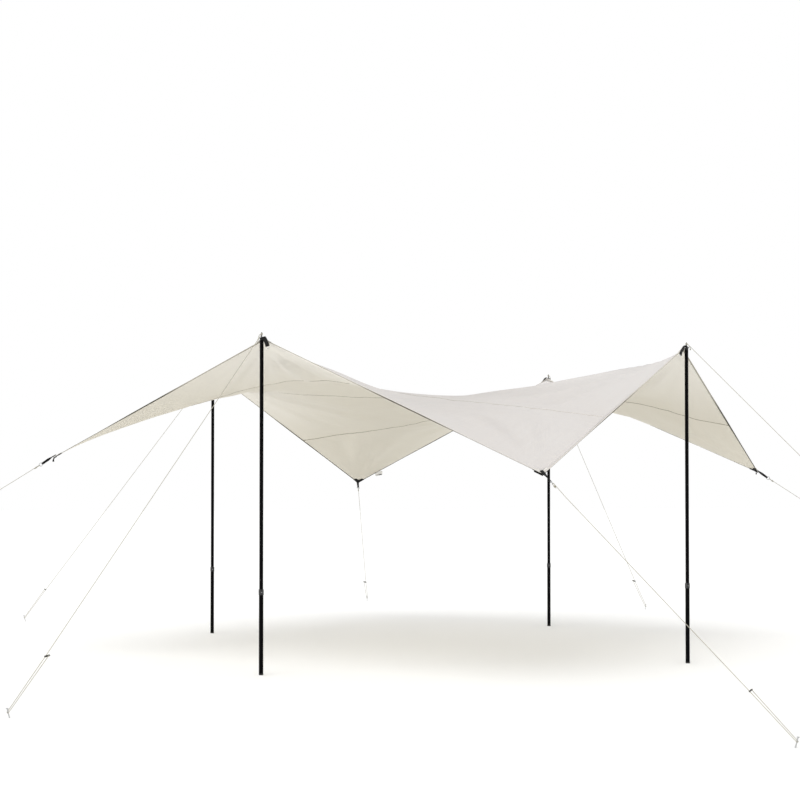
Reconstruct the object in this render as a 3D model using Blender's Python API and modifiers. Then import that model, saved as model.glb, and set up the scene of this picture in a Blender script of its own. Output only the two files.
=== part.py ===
"""Square camp tarp pitched on four telescopic poles and eight guy ropes.

The cloth is one square sheet. The middle of each side is held up by a pole, and the four
corners are pulled low and outwards by ropes, so the sheet takes a saddle shape. Units are
metres, +Z is up, the ground is z = 0, and the origin is on the ground under the middle.
-Y is the front, -X the left.
"""

import math

import bmesh
import bpy
from mathutils import Matrix, Vector

# Layout of the pitch
POLE_REACH = 1.635
STAKE_TO_POLE = 2.4
CORNER_TIPS = {
    "left": (-3.08, 0.0, 1.58),
    "front": (0.0, -3.07, 1.42),
    "right": (3.04, 0.0, 1.48),
    "back": (0.03, 3.07, 1.40),
}
CORNER_STAKES = {
    "left": (-5.5, 0.0),
    "front": (0.6, -5.3),
    "right": (5.5, 0.0),
    "back": (0.6, 5.3),
}
POLE_WAYS = {
    "front_left": (-1, -1),
    "front_right": (1, -1),
    "back_right": (1, 1),
    "back_left": (-1, 1),
}
# Each side of the cloth runs from a corner, over a pole, to the next corner.
SIDES = {
    "front_left": ("left", "front"),
    "front_right": ("front", "right"),
    "back_right": ("right", "back"),
    "back_left": ("back", "left"),
}

# Poles
POLE_TOP = 2.405
UPPER_RADIUS = 0.014
UPPER_WALL = 0.0012
UPPER_BOTTOM = 0.44
LOWER_RADIUS = 0.016
LOWER_TOP = 0.61
SLIDE_GAP = 0.0006
COLLAR_RADIUS = 0.0185
COLLAR_HEIGHT = 0.04
HOLE_RADIUS = 0.004
HOLE_HEIGHTS = (0.23, 0.41, 0.59)
FOOT_HEIGHT = 0.012
FOOT_PLUG = 0.03
CAP_HEIGHT = 0.01
CAP_PLUG = 0.03
SPIKE_RADIUS = 0.004
SPIKE_LENGTH = 0.045

# Cloth, edge tape and webbing
CLOTH_THICKNESS = 0.003
CLOTH_CELLS = 20
RELAX_STEPS = 400
APEX_INSET = 0.026
HEM_RADIUS = 0.004
HEM_OFFSET = 0.005
HEM_END = 0.03
WEB_WIDTH = 0.025
WEB_THICKNESS = 0.003
WEB_ARM = 0.08
WEB_LAYER = 0.0004
STEM_LENGTH = 0.10
STEM_ROOT = 0.004
WASHER_RADIUS = 0.02
WASHER_HOLE = 0.006
RING_RADIUS = 0.014
RING_WIRE = 0.0025

# Where the pitched cloth stands off the evenly relaxed sheet. Places and spreads are on the
# square pattern of the cloth, which runs from -1 to 1 both ways; heights are in metres.
POLE_SWELL_PLACE = 0.88
POLE_SWELL_SPREAD = 0.36
POLE_SWELL = 0.11
LEFT_RIDGE_PLACE = (-0.35, -0.31)
LEFT_RIDGE_SPREAD = 0.33
LEFT_RIDGE = 0.12
RIGHT_RIDGE_PLACE = (0.60, 0.48)
RIGHT_RIDGE_SPREAD = 0.25
RIGHT_RIDGE = 0.17
FRONT_DIP_PLACE = (0.37, -0.82)
FRONT_DIP_SPREAD = 0.25
FRONT_DIP = -0.13
INNER_DIP_PLACE = (0.19, -0.45)
INNER_DIP_SPREAD = 0.26
INNER_DIP = -0.03
BACK_DIP_PLACE = (-0.42, 0.90)
BACK_DIP_SPREAD = 0.62
BACK_DIP = -0.11

# Ropes and stakes
ROPE_RADIUS = 0.002
EYE_LENGTH = 0.05
EYE_STEPS = 8
STAKE_RADIUS = 0.004
STAKE_HEIGHT = 0.06
STAKE_LEAN = math.radians(20)
STAKE_HEAD = 0.009
STAKE_HEAD_HEIGHT = 0.005
ROPE_ON_STAKE = 0.035

GAP = 0.0003
ROUND = 20
UP = Vector((0, 0, 1))


def clear_scene():
    for thing in list(bpy.data.objects):
        bpy.data.objects.remove(thing, do_unlink=True)


def new_collection(name):
    collection = bpy.data.collections.new(name)
    bpy.context.scene.collection.children.link(collection)
    return collection


def new_material(name, colour, roughness, metallic=0.0):
    material = bpy.data.materials.new(name)
    material.use_nodes = True
    shader = material.node_tree.nodes["Principled BSDF"]
    shader.inputs["Base Color"].default_value = (*colour, 1.0)
    shader.inputs["Roughness"].default_value = roughness
    shader.inputs["Metallic"].default_value = metallic
    return material


def add_object(name, data, material, place=(0, 0, 0)):
    thing = bpy.data.objects.new(name, data)
    thing.location = place
    thing.data.materials.append(material)
    parts.objects.link(thing)
    return thing


def add_shaper(name, mesh, place=(0, 0, 0)):
    thing = bpy.data.objects.new(name, mesh)
    thing.location = place
    thing.hide_render = True
    thing.display_type = "WIRE"
    shapers.objects.link(thing)
    return thing


def mesh_from(name, bm):
    mesh = bpy.data.meshes.new(name)
    bm.to_mesh(mesh)
    bm.free()
    return mesh


def combine(thing, operation, others):
    for other in others:
        modifier = thing.modifiers.new(other.name, "BOOLEAN")
        modifier.operation = operation
        modifier.solver = "EXACT"
        modifier.object = other


def smooth(mesh):
    mesh.shade_smooth()
    mesh.set_sharp_from_angle(angle=math.radians(35))


def turned_mesh(name, profile, closed):
    """A profile of (radius, height) points, down the outer side from the top."""
    bm = bmesh.new()
    points = [bm.verts.new((radius, 0, height)) for radius, height in profile]
    for first, second in zip(points, points[1:]):
        bm.edges.new((first, second))
    if closed:
        bm.edges.new((points[-1], points[0]))
    return mesh_from(name, bm)


def add_turn(thing, steps=ROUND):
    turn = thing.modifiers.new("turn", "SCREW")
    turn.steps = steps
    turn.render_steps = steps
    turn.use_merge_vertices = True
    turn.merge_threshold = 0.00005
    turn.use_smooth_shade = True


def bar_mesh(name, start, end, normal, width, thickness):
    """A flat bar from start to end, its lower face on both points."""
    along = (end - start).normalized()
    side = normal.cross(along).normalized()
    face = along.cross(side)
    middle = (start + end) / 2 + face * thickness / 2
    turn = Matrix((along, side, face)).transposed().to_4x4()
    size = Matrix.Diagonal(((end - start).length, width, thickness, 1))
    bm = bmesh.new()
    bmesh.ops.create_cube(bm, size=1, matrix=Matrix.Translation(middle) @ turn @ size)
    return mesh_from(name, bm)


def pole_base(pole):
    way = POLE_WAYS[pole]
    return Vector((way[0] * POLE_REACH, way[1] * POLE_REACH, 0))


def outward(pole):
    return Vector((*POLE_WAYS[pole], 0)).normalized()


def corner_tip(corner):
    return Vector(CORNER_TIPS[corner])


def cloth_apex(pole):
    """Where the cloth's edge passes the pole: just inside it, under the webbing."""
    apex = pole_base(pole) - outward(pole) * APEX_INSET
    apex.z = POLE_TOP + GAP - HEM_RADIUS - 0.0004
    return apex


def web_level():
    """Height of the webbing's lower face above the line of the cloth's edge."""
    return HEM_RADIUS + 0.0004


def edge_point(corners, apexes, side, amount):
    """A point on one side of the cloth, amount running from 0 to 1 over the apex."""
    first, last = SIDES[side]
    if amount <= 0.5:
        return corners[first].lerp(apexes[side], amount * 2)
    return apexes[side].lerp(corners[last], amount * 2 - 1)


def swell(x, y):
    """Height above the relaxed sheet: ridges at the left and right, dips at front and back."""
    places = [
        (POLE_SWELL_PLACE, 0, POLE_SWELL_SPREAD, POLE_SWELL),
        (-POLE_SWELL_PLACE, 0, POLE_SWELL_SPREAD, POLE_SWELL),
        (0, POLE_SWELL_PLACE, POLE_SWELL_SPREAD, POLE_SWELL),
        (0, -POLE_SWELL_PLACE, POLE_SWELL_SPREAD, POLE_SWELL),
        (*LEFT_RIDGE_PLACE, LEFT_RIDGE_SPREAD, LEFT_RIDGE),
        (*RIGHT_RIDGE_PLACE, RIGHT_RIDGE_SPREAD, RIGHT_RIDGE),
        (*FRONT_DIP_PLACE, FRONT_DIP_SPREAD, FRONT_DIP),
        (*INNER_DIP_PLACE, INNER_DIP_SPREAD, INNER_DIP),
        (*BACK_DIP_PLACE, BACK_DIP_SPREAD, BACK_DIP),
    ]
    height = 0.0
    for across, along, spread, rise in places:
        away = ((x - across) ** 2 + (y - along) ** 2) / spread**2
        height += rise * math.exp(-away)
    return height * (1 - x**4) * (1 - y**4)


def make_cloth(material):
    """The sheet: a square grid with straight edges, its inside relaxed and then swelled."""
    corners = {name: corner_tip(name) for name in CORNER_TIPS}
    apexes = {name: cloth_apex(name) for name in POLE_WAYS}

    def edge(side, amount):
        return edge_point(corners, apexes, side, amount)

    bm = bmesh.new()
    bmesh.ops.create_grid(bm, x_segments=CLOTH_CELLS, y_segments=CLOTH_CELLS, size=1)
    square = {vert: (vert.co.x, vert.co.y) for vert in bm.verts}
    for vert, (x, y) in square.items():
        u = (x + 1) / 2
        v = (y + 1) / 2
        low = edge("front_left", u)
        high = edge("back_right", 1 - u)
        near = edge("back_left", 1 - v)
        far = edge("front_right", v)
        flat = corners["left"] * (1 - u) * (1 - v) + corners["front"] * u * (1 - v)
        flat += corners["right"] * u * v + corners["back"] * (1 - u) * v
        vert.co = low * (1 - v) + high * v + near * (1 - u) + far * u - flat
    inside = [vert for vert in bm.verts if not vert.is_boundary]
    for _ in range(RELAX_STEPS):
        bmesh.ops.smooth_vert(
            bm, verts=inside, factor=1.0, use_axis_x=True, use_axis_y=True, use_axis_z=True
        )
    for vert, (x, y) in square.items():
        vert.co.z += swell(x, y)
    mesh = mesh_from("cloth", bm)
    smooth(mesh)
    cloth = add_object("canopy_sheet", mesh, material)
    shell = cloth.modifiers.new("thickness", "SOLIDIFY")
    shell.thickness = CLOTH_THICKNESS
    shell.offset = 0


def make_tube(name, points, radius, material):
    curve = bpy.data.curves.new(name, "CURVE")
    curve.dimensions = "3D"
    curve.bevel_depth = radius
    curve.bevel_resolution = 2
    curve.use_fill_caps = True
    spline = curve.splines.new("POLY")
    spline.points.add(len(points) - 1)
    for point, place in zip(spline.points, points):
        point.co = (*place, 1)
    return add_object(name, curve, material)


def hem_end(corner, side):
    """Where a bound edge stops short of a corner, beside the cloth in the corner's plane."""
    tip = corner_tip(corner)
    edge = (cloth_apex(side) - tip).normalized()
    way = corner_face(corner).cross(edge)
    if way.dot(outward(side)) < 0:
        way.negate()
    return tip + edge * HEM_END + way * HEM_OFFSET


def make_hem(side, material):
    """Bound edge of one side of the cloth, bent over the pole."""
    first, last = SIDES[side]
    bend = cloth_apex(side) + outward(side) * HEM_OFFSET
    points = [hem_end(first, side), bend, hem_end(last, side)]
    make_tube("edge_tape_" + side, points, HEM_RADIUS, material)


def make_pole_webbing(pole, material):
    """A washer over the spike, a link to the cloth, and an arm along each edge."""
    name = "pole_webbing_" + pole
    base = pole_base(pole)
    apex = cloth_apex(pole)
    inward = (Vector((0, 0, apex.z - 0.4)) - apex).normalized()
    bm = bmesh.new()
    bmesh.ops.create_cone(
        bm,
        cap_ends=True,
        segments=ROUND,
        radius1=WASHER_RADIUS,
        radius2=WASHER_RADIUS,
        depth=WEB_THICKNESS,
        matrix=Matrix.Translation((0, 0, POLE_TOP + GAP + WEB_THICKNESS / 2)),
    )
    webbing = add_object(name, mesh_from(name, bm), material, base)
    level = apex + UP * web_level()
    link_start = Vector((base.x, base.y, level.z))
    link = bar_mesh(name + "_link", link_start, level, UP, WEB_WIDTH, WEB_THICKNESS)
    joined = [add_shaper(name + "_link", link)]
    for layer, corner in enumerate(SIDES[pole], 1):
        along = (corner_tip(corner) - apex).normalized()
        face = along.cross(inward)
        if face.z < 0:
            face.negate()
        start = apex + face * (web_level() + layer * WEB_LAYER) - along * WEB_WIDTH / 2
        end = start + along * WEB_ARM
        label = name + "_arm_" + corner
        arm = bar_mesh(label, start, end, face, WEB_WIDTH, WEB_THICKNESS)
        joined.append(add_shaper(label, arm))
    combine(webbing, "UNION", joined)
    hole = bmesh.new()
    bmesh.ops.create_cone(
        hole,
        cap_ends=True,
        segments=ROUND,
        radius1=WASHER_HOLE,
        radius2=WASHER_HOLE,
        depth=0.04,
        matrix=Matrix.Translation((0, 0, POLE_TOP)),
    )
    cutter = add_shaper(name + "_hole", mesh_from(name + "_hole", hole), base)
    combine(webbing, "DIFFERENCE", [cutter])


def stake_foot(name):
    if name in CORNER_STAKES:
        return Vector((*CORNER_STAKES[name], 0))
    return pole_base(name) + outward(name) * STAKE_TO_POLE


def stake_way(name):
    """Horizontal direction in which the rope pulls away from the tent."""
    held = corner_tip(name) if name in CORNER_STAKES else pole_base(name)
    way = stake_foot(name) - held
    way.z = 0
    return way.normalized()


def rope_seat(name):
    """Point on the stake's axis where the rope's eye sits."""
    return stake_foot(name) + stake_way(name) * ROPE_ON_STAKE * math.tan(STAKE_LEAN) + UP * ROPE_ON_STAKE


def stem_frame(corner):
    """Start of the webbing's stem, its direction to the stake, and its upward face."""
    tip = corner_tip(corner)
    along = (rope_seat(corner) - tip).normalized()
    side = UP.cross(along).normalized()
    return tip, along, along.cross(side)


def corner_face(corner):
    """Upward normal of the plane of the two edges that meet at a corner."""
    tip = corner_tip(corner)
    sides = [name for name, ends in SIDES.items() if corner in ends]
    first, second = (cloth_apex(name) - tip for name in sides)
    face = first.cross(second).normalized()
    return face if face.z > 0 else -face


def ring_centre(corner):
    tip, along, face = stem_frame(corner)
    reach = STEM_LENGTH + RING_RADIUS - RING_WIRE
    return tip + along * reach + face * (web_level() + WEB_THICKNESS / 2)


def make_corner_webbing(corner, material):
    """Two arms along the edges, a stem along the rope, and the ring at its end."""
    name = "corner_webbing_" + corner
    tip, along, face = stem_frame(corner)
    plane = corner_face(corner)
    start = tip + plane * (web_level() + 2 * WEB_LAYER) - along * STEM_ROOT
    end = tip + face * web_level() + along * STEM_LENGTH
    stem = bar_mesh(name, start, end, face, WEB_WIDTH, WEB_THICKNESS)
    webbing = add_object(name, stem, material)
    joined = []
    sides = [pole for pole, ends in SIDES.items() if corner in ends]
    for layer, pole in enumerate(sides):
        edge = (cloth_apex(pole) - tip).normalized()
        root = tip + plane * (web_level() + layer * WEB_LAYER)
        label = name + "_arm_" + pole
        arm = bar_mesh(label, root, root + edge * WEB_ARM, plane, WEB_WIDTH, WEB_THICKNESS)
        joined.append(add_shaper(label, arm))
    side = face.cross(along)
    turn = Matrix((along, side, face)).transposed().to_4x4()
    ring = bmesh.new()
    section = bmesh.ops.create_circle(ring, segments=8, radius=RING_WIRE)["verts"]
    bmesh.ops.rotate(ring, verts=section, cent=(0, 0, 0), matrix=Matrix.Rotation(math.pi / 2, 3, "X"))
    bmesh.ops.translate(ring, verts=section, vec=(RING_RADIUS, 0, 0))
    bmesh.ops.spin(
        ring,
        geom=ring.verts[:] + ring.edges[:],
        cent=(0, 0, 0),
        axis=(0, 0, 1),
        angle=math.tau,
        steps=16,
        use_merge=True,
    )
    bmesh.ops.recalc_face_normals(ring, faces=ring.faces[:])
    ring.transform(Matrix.Translation(ring_centre(corner)) @ turn)
    joined.append(add_shaper(name + "_ring", mesh_from(name + "_ring", ring)))
    combine(webbing, "UNION", joined)


def eye(centre, along, across, radius):
    """A rope's end eye round a bar: the tail, the bend and the start of the rope."""
    points = [centre + along * EYE_LENGTH - across * (2 * ROPE_RADIUS + 2 * GAP)]
    for step in range(EYE_STEPS + 1):
        angle = math.pi * step / EYE_STEPS
        points.append(centre - across * radius * math.cos(angle) - along * radius * math.sin(angle))
    points.append(centre + along * EYE_LENGTH)
    return points


def make_rope(name, material):
    """A taut rope from the webbing's ring, or the pole's spike, to its stake."""
    seat = rope_seat(name)
    if name in CORNER_STAKES:
        _, along, face = stem_frame(name)
        bar = ring_centre(name) + along * RING_RADIUS
        top_eye = eye(bar, along, face, RING_WIRE + ROPE_RADIUS + GAP)
    else:
        along = stake_way(name)
        level = POLE_TOP + WEB_THICKNESS + ROPE_RADIUS + 2 * GAP
        bar = pole_base(name) + UP * level
        top_eye = eye(bar, along, UP.cross(along), SPIKE_RADIUS + ROPE_RADIUS + GAP)
    pull = (top_eye[-1] - seat).normalized()
    across = UP.cross(pull).normalized()
    lean = (stake_way(name) * math.sin(STAKE_LEAN) + UP * math.cos(STAKE_LEAN)).normalized()
    spread = math.sin(pull.angle(lean))
    low_eye = eye(seat, pull, across, STAKE_RADIUS / spread + ROPE_RADIUS + GAP)
    make_tube("guy_rope_" + name, top_eye + low_eye[::-1], ROPE_RADIUS, material)


def make_stake(name, material):
    """The part of a stake above the ground: a leaning shank with a flat head."""
    neck = STAKE_HEIGHT - STAKE_HEAD_HEIGHT
    bm = bmesh.new()
    profile = [
        (0, STAKE_HEIGHT),
        (STAKE_HEAD, STAKE_HEIGHT),
        (STAKE_HEAD, neck),
        (STAKE_RADIUS, neck),
        (STAKE_RADIUS, 0),
        (0, 0),
    ]
    points = [bm.verts.new((radius, 0, height)) for radius, height in profile]
    for first, second in zip(points, points[1:]):
        bm.edges.new((first, second))
    bmesh.ops.spin(
        bm,
        geom=bm.verts[:] + bm.edges[:],
        cent=(0, 0, 0),
        axis=(0, 0, 1),
        angle=math.tau,
        steps=12,
        use_merge=True,
    )
    bmesh.ops.remove_doubles(bm, verts=bm.verts[:], dist=0.00005)
    bmesh.ops.recalc_face_normals(bm, faces=bm.faces[:])
    way = stake_way(name) * math.tan(STAKE_LEAN)
    for vert in bm.verts:
        vert.co += way * vert.co.z
    mesh = mesh_from("stake", bm)
    smooth(mesh)
    add_object("stake_" + name, mesh, material, stake_foot(name))


def make_lower_tube(pole, material):
    """Outer, lower tube of a pole, with a clamp collar at its mouth and three pin holes."""
    name = "lower_tube_" + pole
    bore = UPPER_RADIUS + SLIDE_GAP
    collar_foot = LOWER_TOP - COLLAR_HEIGHT
    bottom = FOOT_HEIGHT + GAP
    profile = [
        (bore, LOWER_TOP),
        (COLLAR_RADIUS, LOWER_TOP),
        (COLLAR_RADIUS, collar_foot),
        (LOWER_RADIUS, collar_foot),
        (LOWER_RADIUS, bottom),
        (bore, bottom),
    ]
    tube = add_object(name, turned_mesh(name, profile, True), material, pole_base(pole))
    add_turn(tube)
    holes = bmesh.new()
    across = Matrix.Rotation(math.pi / 2, 4, "X")
    for height in HOLE_HEIGHTS:
        bmesh.ops.create_cone(
            holes,
            cap_ends=True,
            segments=12,
            radius1=HOLE_RADIUS,
            radius2=HOLE_RADIUS,
            depth=2 * LOWER_RADIUS,
            matrix=Matrix.Translation((0, -LOWER_RADIUS, height)) @ across,
        )
    cutter = add_shaper(name + "_holes", mesh_from(name + "_holes", holes), pole_base(pole))
    combine(tube, "DIFFERENCE", [cutter])


def make_upper_tube(pole, material):
    """Inner, upper tube of a pole, which slides in the lower one."""
    name = "upper_tube_" + pole
    top = POLE_TOP - CAP_HEIGHT - GAP
    bore = UPPER_RADIUS - UPPER_WALL
    profile = [(bore, top), (UPPER_RADIUS, top), (UPPER_RADIUS, UPPER_BOTTOM), (bore, UPPER_BOTTOM)]
    tube = add_object(name, turned_mesh(name, profile, True), material, pole_base(pole))
    add_turn(tube)


def make_tip(pole, material):
    """Plug in the top of a pole, with the spike that carries the webbing."""
    name = "pole_tip_" + pole
    spike_top = POLE_TOP + SPIKE_LENGTH
    plug_radius = UPPER_RADIUS - UPPER_WALL - GAP
    shoulder = POLE_TOP - CAP_HEIGHT
    profile = [
        (0, spike_top),
        (SPIKE_RADIUS * 0.6, spike_top - 0.001),
        (SPIKE_RADIUS, spike_top - 0.004),
        (SPIKE_RADIUS, POLE_TOP),
        (UPPER_RADIUS, POLE_TOP),
        (UPPER_RADIUS, shoulder),
        (plug_radius, shoulder),
        (plug_radius, shoulder - CAP_PLUG),
        (0, shoulder - CAP_PLUG),
    ]
    tip = add_object(name, turned_mesh(name, profile, False), material, pole_base(pole))
    add_turn(tip)


def make_foot(pole, material):
    """Rubber foot: a pad under the lower tube and a plug inside it."""
    name = "foot_" + pole
    plug_radius = UPPER_RADIUS + SLIDE_GAP - GAP
    plug_top = FOOT_HEIGHT + FOOT_PLUG
    profile = [
        (0, plug_top),
        (plug_radius, plug_top),
        (plug_radius, FOOT_HEIGHT),
        (LOWER_RADIUS, FOOT_HEIGHT),
        (LOWER_RADIUS, 0.002),
        (LOWER_RADIUS - 0.002, 0),
        (0, 0),
    ]
    foot = add_object(name, turned_mesh(name, profile, False), material, pole_base(pole))
    add_turn(foot)


clear_scene()
parts = new_collection("canopy_tent")
shapers = new_collection("shapers")

cloth_finish = new_material("beige_tarp_cloth", (0.72, 0.68, 0.62), 0.75)
tape_finish = new_material("olive_edge_tape", (0.19, 0.18, 0.13), 0.85)
web_finish = new_material("black_webbing", (0.012, 0.012, 0.012), 0.8)
rope_finish = new_material("pale_rope", (0.62, 0.60, 0.55), 0.8)
tube_finish = new_material("black_tube", (0.010, 0.010, 0.011), 0.35, 0.6)
collar_finish = new_material("black_plastic", (0.014, 0.014, 0.015), 0.5)
rubber_finish = new_material("black_rubber", (0.018, 0.018, 0.018), 0.85)
steel_finish = new_material("steel", (0.45, 0.45, 0.46), 0.35, 1.0)

make_cloth(cloth_finish)
for pole in POLE_WAYS:
    make_foot(pole, rubber_finish)
    make_lower_tube(pole, tube_finish)
    make_upper_tube(pole, tube_finish)
    make_tip(pole, collar_finish)
    make_hem(pole, tape_finish)
    make_pole_webbing(pole, web_finish)
for corner in CORNER_TIPS:
    make_corner_webbing(corner, web_finish)
for name in (*POLE_WAYS, *CORNER_TIPS):
    make_rope(name, rope_finish)
    make_stake(name, steel_finish)
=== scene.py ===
"""A square camp tarp on four telescopic poles, pitched with eight guy ropes and stakes.

Metres, +Z up, ground at z = 0; -Y is the front and -X the left. The pieces come in the order in
which the tarp is sewn, fitted and pitched.
"""

import functools
import math

import bmesh
import bpy
from mathutils import Matrix, Vector, noise


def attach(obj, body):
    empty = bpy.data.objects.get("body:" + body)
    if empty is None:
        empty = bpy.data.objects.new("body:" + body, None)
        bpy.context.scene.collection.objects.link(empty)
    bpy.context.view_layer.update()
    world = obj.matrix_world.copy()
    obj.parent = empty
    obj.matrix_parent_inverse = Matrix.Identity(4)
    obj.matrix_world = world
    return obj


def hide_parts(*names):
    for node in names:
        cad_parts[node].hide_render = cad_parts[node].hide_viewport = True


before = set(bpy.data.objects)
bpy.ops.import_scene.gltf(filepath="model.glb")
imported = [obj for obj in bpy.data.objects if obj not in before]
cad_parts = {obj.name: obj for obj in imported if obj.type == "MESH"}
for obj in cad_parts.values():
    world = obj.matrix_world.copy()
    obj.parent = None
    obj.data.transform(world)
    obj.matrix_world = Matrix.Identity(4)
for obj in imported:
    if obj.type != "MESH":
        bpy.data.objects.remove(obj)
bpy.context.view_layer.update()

# The tarp: one square sheet, 4.72 m a side, sewn from four lengths of woven polyester that is
# coated on its underside. Four poles hold up the middles of its sides and ropes pull its corners
# low, so it hangs as a saddle with soft folds running out from each pole.
ROOT = "tarp_and_poles"
UP = Vector((0, 0, 1))
POLE_REACH = 1.635
POLE_TOP = 2.405
APEX_INSET = 0.026
APEX_DROP = 0.0041
POLES = {
    "front_left": Vector((-1, -1, 0)),
    "front_right": Vector((1, -1, 0)),
    "back_right": Vector((1, 1, 0)),
    "back_left": Vector((-1, 1, 0)),
}
CORNERS = {
    "left": Vector((-3.08, 0.0, 1.58)),
    "front": Vector((0.0, -3.07, 1.42)),
    "right": Vector((3.04, 0.0, 1.48)),
    "back": Vector((0.03, 3.07, 1.40)),
}
SIDES = {
    "front_left": ("left", "front"),
    "front_right": ("front", "right"),
    "back_right": ("right", "back"),
    "back_left": ("back", "left"),
}
HALF_SIDE = 2.36
CLOTH_THICKNESS = 0.0016
SEAM_LINES = (-0.585, 0.0, 0.585)
CAGE_CELLS = 20
RELAXINGS = 400
SUBDIVISIONS = 3
CLOTH_CELLS = CAGE_CELLS * 2**SUBDIVISIONS
# Folds: how deep they are and how far from a pole they are deepest. Each kind has its number in
# a full turn, its share of the depth and its phase.
FOLD_DEPTH = 0.026
FOLD_REACH = 0.5
CORNER_FOLD_DEPTH = 0.010
FOLDS = ((15, 0.5, 1.0), (25, 0.4, 2.3), (8, 0.3, 1.3))
FINE_FOLDS = (43, 0.30, 0.7)
# A seam flattens most of a fold within this of it, and gathers the cloth into puckers.
SEAM_FLATTENS = 0.85
SEAM_FLAT_REACH = 0.10
PUCKER_HEIGHT = 0.006
PUCKER_LENGTH = 0.08
PUCKER_REACH = 0.12
# Slow waves of slack cloth: how many across the sheet, where in the noise, and how high.
WAVES = ((2.6, 4.0, 0.018), (7.0, 9.0, 0.005))
HELD_RIM = 1 / 6


def pole_base(pole):
    return POLES[pole] * POLE_REACH


def outward(pole):
    return POLES[pole].normalized()


def apex(pole):
    """Where the edge of the cloth passes a pole, just inside it and under its cap."""
    return pole_base(pole) - outward(pole) * APEX_INSET + UP * (POLE_TOP - APEX_DROP)


def along_side(side, amount):
    """A point on one side of the cloth; amount runs from 0 to 1, over the pole at 0.5."""
    first, last = SIDES[side]
    if amount <= 0.5:
        return CORNERS[first].lerp(apex(side), amount * 2)
    return apex(side).lerp(CORNERS[last], amount * 2 - 1)


def ramp(value, start, length):
    """How far a value has come from start over a length: 0 before it and 1 past it."""
    return min(max((value - start) / length, 0.0), 1.0)


def swell(x, y):
    """How far the cloth stands above an evenly relaxed sheet, over its pattern of -1 to 1: each
    place with its spread and its rise."""
    beside_poles = [(x, y, 0.36, 0.11) for x, y in ((0.88, 0), (-0.88, 0), (0, 0.88), (0, -0.88))]
    left_ridge = (-0.35, -0.31, 0.33, 0.12)
    right_ridge = (0.60, 0.48, 0.25, 0.17)
    front_dip = (0.37, -0.82, 0.25, -0.13)
    inner_dip = (0.19, -0.45, 0.26, -0.03)
    back_dip = (-0.42, 0.90, 0.62, -0.11)
    height = 0.0
    places = [*beside_poles, left_ridge, right_ridge, front_dip, inner_dip, back_dip]
    for across, along, spread, rise in places:
        height += rise * math.exp(-((x - across) ** 2 + (y - along) ** 2) / spread**2)
    return height * (1 - x**4) * (1 - y**4)


def fold_height(x, y):
    """Height of the soft folds that run out from the poles and corners, of the puckers along
    the seams, and of the slow waves of slack cloth."""
    height = 0.0
    for hold_x, hold_y, turn in ((0, -1, 0.2), (1, 0, 1.9), (0, 1, 3.1), (-1, 0, 4.4)):
        reach = math.hypot(x - hold_x, y - hold_y) * HALF_SIDE
        way = math.atan2(y - hold_y, x - hold_x)
        inwards = -(hold_x * (x - hold_x) + hold_y * (y - hold_y)) * HALF_SIDE / max(reach, 0.01)
        depth = FOLD_DEPTH * (reach / FOLD_REACH) * math.exp(1 - reach / FOLD_REACH)
        count, size, phase = FINE_FOLDS
        ripple = size * math.cos(count * way + phase * turn) * min(1.0, 1.4 * math.exp(-reach))
        for count, size, phase in FOLDS:
            ripple += size * math.cos(count * way + phase * turn)
        height += depth * max(0.0, inwards) ** 0.7 * ripple
    for hold_x, hold_y in ((-1, -1), (1, -1), (1, 1), (-1, 1)):
        reach = math.hypot(x - hold_x, y - hold_y) * HALF_SIDE
        way = math.atan2(abs(y - hold_y), abs(x - hold_x))
        depth = CORNER_FOLD_DEPTH * (reach / FOLD_REACH) * math.exp(1 - reach / FOLD_REACH)
        height += depth * math.sin(2 * way) * math.cos(15 * way + hold_x + 2 * hold_y)
    for line in SEAM_LINES:
        away = (y - line) * HALF_SIDE
        height *= 1 - SEAM_FLATTENS * math.exp(-((away / SEAM_FLAT_REACH) ** 2))
        gathered = noise.noise(Vector((x * HALF_SIDE / PUCKER_LENGTH, line * 9, 1.5)))
        height += PUCKER_HEIGHT * gathered * math.exp(-((away / PUCKER_REACH) ** 2))
    for count, level, size in WAVES:
        height += noise.noise(Vector((x * count, y * count, level))) * size
    return height * ramp(1 - abs(x), 0, HELD_RIM) * ramp(1 - abs(y), 0, HELD_RIM)


def in_scene(name, data):
    """Puts a mesh, lamp or camera in the scene as a new object."""
    made = bpy.data.objects.new(name, data)
    bpy.context.scene.collection.objects.link(made)
    return made


def finished(built, sharp=None):
    """The mesh of a modelled shape: smooth, but for edges that turn more than sharp degrees."""
    for face in built.faces:
        face.smooth = True
    mesh = bpy.data.meshes.new("mesh")
    built.to_mesh(mesh)
    built.free()
    if sharp:
        mesh.set_sharp_from_angle(angle=math.radians(sharp))
    return mesh


def with_modifiers(thing):
    """The mesh that an object's modifiers give. The object itself is taken out."""
    bpy.context.view_layer.update()
    shaped = thing.evaluated_get(bpy.context.evaluated_depsgraph_get())
    mesh = bpy.data.meshes.new_from_object(shaped)
    bpy.data.objects.remove(thing)
    return mesh


def add_piece(name, mesh, material, body=ROOT, node=None):
    """Adds a finished mesh as a piece of the tarp that rides on a body and may replace a node."""
    piece = in_scene(name, mesh)
    mesh.name = name
    mesh.materials.clear()
    mesh.materials.append(material)
    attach(piece, body)
    if node:
        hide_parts(node)
    return piece


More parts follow.
